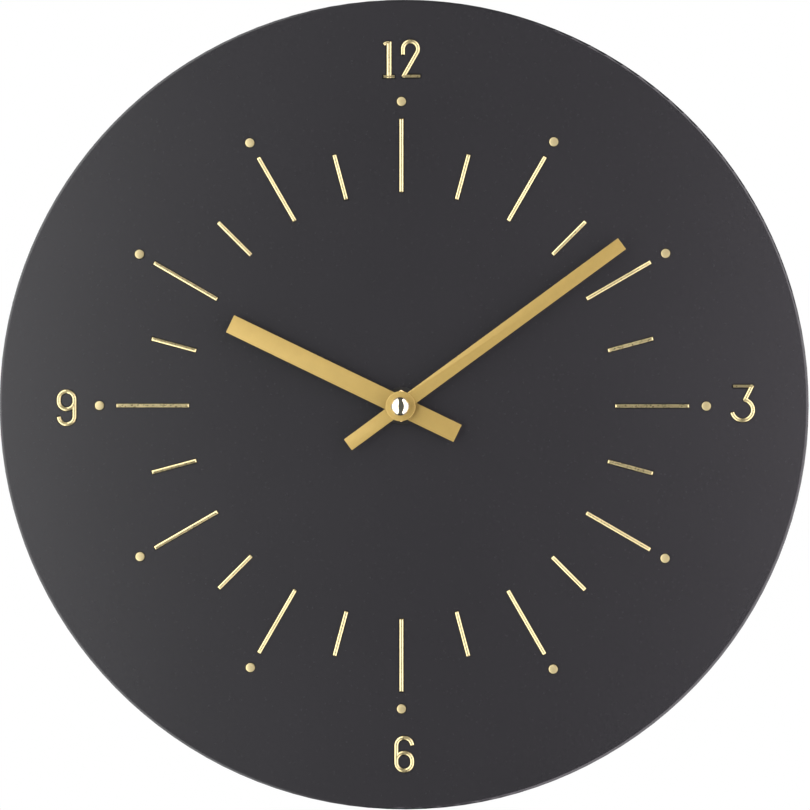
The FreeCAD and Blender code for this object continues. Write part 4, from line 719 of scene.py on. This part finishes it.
def figure_three(top, width):
    sizes = settings().inlay
    radius = top * 0.61
    centre = (-width * 0.05, -top + radius)
    waist = on_arc(centre, radius, 76)
    corner = (width * 0.53, top)
    bowl = stroke(waist, math.radians(76 - 90), sizes.stroke, [("arc", radius, -236)], 0.0004)
    return [straight((-width * 0.56, top), corner, sizes.thin_stroke, 0.0004),
            straight(corner, waist, sizes.stroke, 0.0003), bowl]


def figure_six(top, width):
    sizes = settings().inlay
    radius = width / 2
    lower = -top + radius
    upper = lower + width * 0.12
    stem = stroke(on_arc((0, top - radius), radius, 12), math.radians(102), sizes.stroke,
                  [("arc", radius, 168), ("on", top - radius - lower), ("arc", radius, 180)], 0.0004)
    side = stroke((radius, lower), QUARTER, sizes.stroke, [("on", upper - lower), ("arc", radius, 165)])
    return [stem, side]


def node_middle(*nodes):
    """Middle of some frame nodes as they are seen on the dial."""
    corners = [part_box(node) for node in nodes]
    xs = [corner.x for pair in corners for corner in pair]
    zs = [corner.z for pair in corners for corner in pair]
    return (min(xs) + max(xs)) / 2, (min(zs) + max(zs)) / 2


class WALLCLOCK_OT_numerals(bpy.types.Operator):
    """Brass figures 12, 3, 6 and 9"""
    bl_idname = "wallclock.numerals"
    bl_label = "Numerals"

    def execute(self, context):
        sizes = settings().inlay
        width = sizes.numeral_width
        nine = turn_flat(united(figure_six(sizes.round_rise, width)), math.pi)
        figures = (
            ("numeral_12_one", united(figure_one(sizes.two_rise, -width * 0.79))),
            ("numeral_12_two", united(figure_two(sizes.two_rise, width * 0.075, width * 0.94))),
            ("numeral_3", united(figure_three(sizes.three_rise, width))),
            ("numeral_6", united(figure_six(sizes.round_rise, width))),
            ("numeral_9", nine),
        )
        for node, piece in figures:
            moved_flat(piece, *place_of(piece, node))
            finished(piece, "brass_" + node, "clock", [node], "brass_inlay", 25.0)
        return {"FINISHED"}


def place_of(piece, node):
    """Where a figure drawn about its own middle goes, so that it fills its frame node."""
    middle = node_middle(node)
    xs = [vertex.co.x for vertex in piece.data.vertices]
    ys = [vertex.co.y for vertex in piece.data.vertices]
    return middle[0] - (min(xs) + max(xs)) / 2, middle[1] - (min(ys) + max(ys)) / 2


# ---------------------------------------------------------------- hands and their fittings
def flat_hand(width, reach, tail, low, top, eye=None, bore=0.005):
    """A hand cut from sheet, upright, with a bevelled upper edge."""
    sizes = settings().hands
    blank = slab(-width / 2, width / 2, -tail, reach, low, top)
    if eye:
        blank = united([blank, disc(eye, low, top, sides=96)])
    blank = bevelled(blank, sizes.edge_bevel, 2)
    return carved(blank, [disc(bore, low - 0.001, top + 0.001, sides=64)])


class WALLCLOCK_OT_hands(bpy.types.Operator):
    """Hour and minute hands"""
    bl_idname = "wallclock.hands"
    bl_label = "Hands"

    def execute(self, context):
        sizes = settings().hands
        hour = flat_hand(sizes.hour_width, sizes.hour_reach, sizes.hour_tail, *levels("hour_hand"),
                         sizes.hour_eye, 0.00505)
        turn_flat(hour, sizes.hour_turn)
        finished(hour, "gold_hour_hand", "hour", ["hour_hand"], "gold_hand")
        minute = flat_hand(sizes.minute_width, sizes.minute_reach, sizes.minute_tail,
                           *levels("minute_hand"), None, 0.0046)
        turn_flat(minute, sizes.minute_turn)
        finished(minute, "gold_minute_hand", "minute", ["minute_hand"], "gold_hand")
        return {"FINISHED"}


class WALLCLOCK_OT_hub(bpy.types.Operator):
    """Raised disc and domed nut in the middle of the hands"""
    bl_idname = "wallclock.hub"
    bl_label = "Hub and cap nut"

    def execute(self, context):
        sizes = settings().hands
        neck_low, neck_top = levels("minute_hand_hub")
        plate = disc(sizes.hub, levels("minute_hand")[1], neck_top, sides=128)
        pick(plate, "e", lambda spot: spot.z > neck_top - 1e-6)
        bpy.ops.mesh.bevel(offset=0.0003, segments=3, affect="EDGES")
        plate = done()
        neck = disc(sizes.hub_neck, neck_low, levels("minute_hand")[1] + 0.0001, sides=64)
        plate = carved(united([plate, neck]), [disc(sizes.thread, neck_low - 0.001, neck_top + 0.001,
                                                    sides=48)])
        finished(plate, "gold_hub_disc", "minute", ["minute_hand_hub"], "gold_hand", 40.0)

        low, top = levels("cap_nut")
        radius = sizes.cap / 2
        rise = sizes.cap_dome
        sphere = (radius ** 2 + rise ** 2) / (2 * rise)
        rim = top - rise
        clear_selection()
        bpy.ops.mesh.primitive_uv_sphere_add(segments=96, ring_count=96, radius=sphere,
                                             location=(0, 0, top - sphere))
        bake_place()
        bpy.ops.object.mode_set(mode="EDIT")
        bpy.ops.mesh.select_all(action="SELECT")
        bpy.ops.mesh.bisect(plane_co=(0, 0, rim), plane_no=(0, 0, 1), clear_inner=True)
        nut = done()
        pick(nut, "e", lambda spot: spot.z < rim + 1e-6)
        ledge = 0.0002
        for drop, narrow in ((ledge + low - rim, 1), (-ledge, 0.94), (0, 0.5), (sizes.thread_depth, 1)):
            bpy.ops.mesh.extrude_region_move(TRANSFORM_OT_translate={"value": (0, 0, drop)})
            bpy.ops.transform.resize(value=(narrow, narrow, 1), center_override=(0, 0, low))
        bpy.ops.mesh.edge_face_add()
        finished(done(), "domed_cap_nut", "minute", ["cap_nut"], "polished_brass", 35.0)
        return {"FINISHED"}


# ---------------------------------------------------------------- back of the clock
def even_normals(piece):
    """Let the large flat faces set the shading next to the rounded edges."""
    return apply(piece, "WEIGHTED_NORMAL", mode="FACE_AREA", weight=100, keep_sharp=True)


def ring_tool(at, outer, inner, low, top):
    """A ring that cuts a round groove."""
    return carved(disc(outer * 2, low, top, at, 96), [disc(inner * 2, low - PAST, top + PAST, at, 96)])


def arrow_tool(at, degrees, size, low, top):
    """A three-cornered block that cuts an arrowhead."""
    clear_selection()
    bpy.ops.mesh.primitive_cylinder_add(vertices=3, radius=size, depth=top - low,
                                        location=(at[0], at[1], (low + top) / 2),
                                        rotation=(0, 0, math.radians(degrees)))
    bake_place()
    return bpy.context.object


def cross_tools(at, reach, width, low, top):
    """Two bars that cut an upright cross."""
    x, y = at
    return [slab(x - reach, x + reach, y - width / 2, y + width / 2, low, top),
            slab(x - width / 2, x + width / 2, y - reach, y + reach, low, top)]


class WALLCLOCK_OT_rear_cover(bpy.types.Operator):
    """Moulded rear cover of the movement, with its frame line, ribs, arrows and polarity marks"""
    bl_idname = "wallclock.rear_cover"
    bl_label = "Rear cover"

    def execute(self, context):
        sizes = settings().back
        low, inner_level = levels("rear_cover")
        start, end = low - PAST / 2, low + sizes.relief
        left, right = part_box("rear_cover")[0].x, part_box("rear_cover")[1].x
        bottom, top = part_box("rear_cover")[0].z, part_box("rear_cover")[1].z
        knob = node_middle("setting_knob")
        inset, line = sizes.frame_inset, sizes.frame_line
        cover = slab(left, right, bottom, top, low, low + sizes.cover)
        cover = bevelled(cover, sizes.cover_edge, 3)
        boss = disc(sizes.knob_well + 2 * sizes.cover, low + sizes.cover / 2, inner_level, knob, 96)
        well = disc(sizes.knob_well, low - PAST, inner_level - sizes.cover, knob, 96)
        hole = disc(sizes.knob_hole, low - PAST, inner_level + PAST, knob, 48)
        cover = carved(united([cover, boss]), [well, hole])
        frame_tool = slab(left + inset, right - inset, bottom + inset, top - inset, start, end)
        inner = slab(left + inset + line, right - inset - line, bottom + inset + line, top - inset - line,
                     start - PAST, end + PAST)
        tools = [carved(frame_tool, [inner])]
        tools.append(ring_tool(knob, sizes.arrow_ring + line, sizes.arrow_ring, start, end))
        for turn in (20, 200):
            spot = on_arc(knob, sizes.arrow_ring + line / 2, turn)
            tools.append(arrow_tool(spot, turn, sizes.arrow, start, end))
        rib_low = bottom + sizes.rib_start
        rib = slab(left + sizes.rib_left, left + sizes.rib_left + sizes.rib_length, rib_low,
                   rib_low + sizes.rib_width, start, end)
        tools.append(rib)
        for count in range(1, sizes.ribs):
            twin = copied(rib)
            moved_flat(twin, 0, count * sizes.rib_step)
            tools.append(twin)
        mark_up = bottom + sizes.mark_up
        tools += cross_tools((right - sizes.mark_side, mark_up), sizes.mark, sizes.mark_line, start, end)
        minus = left + sizes.mark_side
        tools.append(slab(minus - sizes.mark, minus + sizes.mark, mark_up - sizes.mark_line / 2,
                          mark_up + sizes.mark_line / 2, start, end))
        for spot in ((left + sizes.pin_inset, top - sizes.pin_inset),
                     (right - sizes.pin_side, bottom + sizes.pin_up)):
            tools.append(disc(sizes.pin_mark, start, end, spot, 40))
        finished(carved(cover, tools), "moulded_rear_cover", "clock", ["rear_cover"], "black_case")
        even_normals(cover)
        return {"FINISHED"}


def laid_copy(node):
    """A copy of a frame node's mesh on a new object, welded and laid face up."""
    clear_selection()
    bpy.ops.mesh.primitive_plane_add(location=(0, 0, 0))
    twin = bpy.context.object
    twin.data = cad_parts[node].data.copy()
    tidy(twin)
    twin.rotation_euler = (-QUARTER, 0, 0)
    bake_place()
    return twin


def countersunk_screw(sizes, at, length_in):
    """A countersunk wood screw with a cross in its head, from the wall inwards."""
    x, y = at
    radius = sizes.screw_head / 2
    shank = sizes.screw_shank / 2 / radius
    neck = sizes.screw_rim + radius * (1 - shank)
    clear_selection()
    bpy.ops.mesh.primitive_cylinder_add(vertices=48, radius=radius, depth=sizes.screw_rim,
                                        location=(x, y, sizes.screw_rim / 2))
    bake_place()
    screw = bpy.context.object
    pick(screw, "f", lambda face: face.normal.z > 0.9)
    point = sizes.screw_point
    for rise, scale in ((neck - sizes.screw_rim, shank), (length_in - neck - point, 1), (point, 0.08)):
        bpy.ops.mesh.extrude_region_move(TRANSFORM_OT_translate={"value": (0, 0, rise)})
        bpy.ops.transform.resize(value=(scale, scale, 1), center_override=(x, y, 0))
    screw = done()
    arms = cross_tools(at, radius * sizes.cross_share, sizes.cross_width, -PAST, sizes.cross_depth)
    return bevelled(carved(screw, arms), sizes.screw_edge, 2, 50)


class WALLCLOCK_OT_hanger(bpy.types.Operator):
    """Steel keyhole plate and its cross-head screws"""
    bl_idname = "wallclock.hanger"
    bl_label = "Keyhole hanger"

    def execute(self, context):
        sizes = settings().back
        plate = bevelled(laid_copy("keyhole_hanger"), sizes.plate_edge, 2, 60)
        finished(plate, "steel_keyhole_plate", "clock", ["keyhole_hanger"], "zinc_steel")
        even_normals(plate)
        first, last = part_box("hanger_screws")
        head = sizes.screw_head / 2
        across = last.x - first.x - 2 * head
        spot = (first.x + head, node_middle("hanger_screws")[1])
        screw = countersunk_screw(sizes, spot, -first.y)
        twin = copied(screw)
        moved_flat(twin, across, 0)
        finished(merged([screw, twin]), "cross_head_screws", "clock", ["hanger_screws"], "zinc_steel", 40.0,
                 finish="screw_steel")
        return {"FINISHED"}


class WALLCLOCK_OT_frame_finishes(bpy.types.Operator):
    """Finishes of the parts whose shape comes from the frame"""
    bl_idname = "wallclock.frame_finishes"
    bl_label = "Frame finishes"

    def execute(self, context):
        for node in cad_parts.values():
            for place in node.material_slots:
                place.material = FINISHES[place.material.name.split(".")[0]]
        return {"FINISHED"}


# ---------------------------------------------------------------- stage
def softbox(name, power, tint, place, size, facing):
    """A large rectangular lamp that faces along X or Y."""
    lamp = bpy.data.lights.new(name, "AREA")
    lamp.energy = power
    lamp.color = tint
    lamp.shape = "RECTANGLE"
    lamp.size, lamp.size_y = size
    holder = bpy.data.objects.new(name, lamp)
    holder.location = place
    holder.rotation_euler = facing
    holder.visible_camera = False
    bpy.context.scene.collection.objects.link(holder)
    return holder


class WALLCLOCK_OT_stage(bpy.types.Operator):
    """Camera, softboxes, lamps for the board alone, pale floor and white surroundings"""
    bl_idname = "wallclock.stage"
    bl_label = "Stage"

    def execute(self, context):
        stage = settings().stage
        scene = context.scene
        camera = bpy.data.cameras.new("clock_camera")
        camera.lens = stage.lens
        camera.sensor_width = 36
        holder = bpy.data.objects.new("clock_camera", camera)
        holder.location = (stage.camera_right, -stage.camera_away, stage.camera_up)
        scene.collection.objects.link(holder)
        aim = Vector((0.00132, -FACE, 0.0003)) - holder.location
        holder.rotation_euler = aim.to_track_quat("-Z", "Y").to_euler()
        scene.camera = holder
        softbox("left_softbox", stage.left_power, (1.0, 1.0, 1.0), (-0.80, -0.87, 0.0), (2.54, 5.0),
                (QUARTER, 0, -QUARTER))
        softbox("right_softbox", stage.right_power, (1.0, 0.95, 1.0), (0.80, -0.25, 0.0), (1.12, 4.6),
                (QUARTER, 0, QUARTER))
        board = bpy.data.collections.new("board_only")
        board.objects.link(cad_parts["dial_board"])
        wash = softbox("right_wash", stage.wash_power, (1.0, 0.92, 1.0), (0.50, -1.2, 0.0), (1.5, 3.0),
                       (QUARTER, 0, QUARTER))
        wash.light_linking.receiver_collection = board
        wash = softbox("left_wash", stage.wash_power * stage.left_wash_share, (1.0, 1.0, 1.0),
                       (-0.60, -1.9, 0.0), (0.7, 3.6), (QUARTER, 0, -QUARTER))
        wash.light_linking.receiver_collection = board
        softbox("rear_fill", stage.rear_power, (1.0, 1.0, 1.0), (0.3, 1.6, 0.5), (1.6, 1.6),
                (-QUARTER, 0, 0))
        clear_selection()
        bpy.ops.mesh.primitive_plane_add(size=stage.floor_size, location=(0, 0, -stage.floor_drop))
        floor = context.object
        bake_place()
        floor.name = "pale_floor"
        pale, shader, _ = surface("floor", (0.80, 0.80, 0.79), 0.7, mottle=0.01, grain=60.0, depth=0.0002)
        shader.inputs["Emission Color"].default_value = (1, 1, 1, 1)
        shader.inputs["Emission Strength"].default_value = stage.floor_glow
        floor.data.materials.append(pale)
        floor.visible_glossy = False
        floor.visible_diffuse = False
        white_surroundings(scene)
        scene.view_settings.view_transform = "Standard"
        return {"FINISHED"}


def white_surroundings(scene):
    """White where the camera looks past the clock, and a dim grey for lighting."""
    world = bpy.data.worlds.new("studio")
    scene.world = world
    world.use_nodes = True
    nodes = world.node_tree.nodes
    link = world.node_tree.links.new
    nodes.clear()
    seen = nodes.new("ShaderNodeBackground")
    seen.inputs["Color"].default_value = (1, 1, 1, 1)
    seen.inputs["Strength"].default_value = 1.0
    light = nodes.new("ShaderNodeBackground")
    light.inputs["Color"].default_value = (0.9, 0.95, 1.0, 1)
    light.inputs["Strength"].default_value = 0.12
    path = nodes.new("ShaderNodeLightPath")
    mix = nodes.new("ShaderNodeMixShader")
    output = nodes.new("ShaderNodeOutputWorld")
    link(path.outputs["Is Camera Ray"], mix.inputs["Fac"])
    link(light.outputs["Background"], mix.inputs[1])
    link(seen.outputs["Background"], mix.inputs[2])
    link(mix.outputs["Shader"], output.inputs["Surface"])


# ---------------------------------------------------------------- sidebar and registration
STEPS = (WALLCLOCK_OT_frame_finishes, WALLCLOCK_OT_hour_marks, WALLCLOCK_OT_numerals,
         WALLCLOCK_OT_hands, WALLCLOCK_OT_hub, WALLCLOCK_OT_rear_cover, WALLCLOCK_OT_hanger,
         WALLCLOCK_OT_stage)


class WALLCLOCK_PT_sidebar(bpy.types.Panel):
    """Sizes, colours and the steps that model the clock"""
    bl_idname = "WALLCLOCK_PT_sidebar"
    bl_label = "Round wall clock"
    bl_space_type = "VIEW_3D"
    bl_region_type = "UI"
    bl_category = "Clock"

    def draw(self, context):
        clock = context.scene.wall_clock
        for group in (clock.inlay, clock.hands, clock.back, clock.stage, clock.colours):
            box = self.layout.box()
            for name in group.bl_rna.properties.keys():
                if name not in ("rna_type", "name"):
                    box.prop(group, name)
        for step in STEPS:
            self.layout.operator(step.bl_idname)


CLASSES = (InlaySizes, HandSizes, BackSizes, StageSizes, Colours, ClockSettings, *STEPS,
           WALLCLOCK_PT_sidebar)


def register():
    for item in CLASSES:
        bpy.utils.register_class(item)
    bpy.types.Scene.wall_clock = bpy.props.PointerProperty(type=ClockSettings)


def unregister():
    del bpy.types.Scene.wall_clock
    for item in reversed(CLASSES):
        bpy.utils.unregister_class(item)


def main():
    register()
    make_finishes()
    for step in STEPS:
        group, name = step.bl_idname.split(".")
        getattr(getattr(bpy.ops, group), name)()


if __name__ == "__main__":
    main()
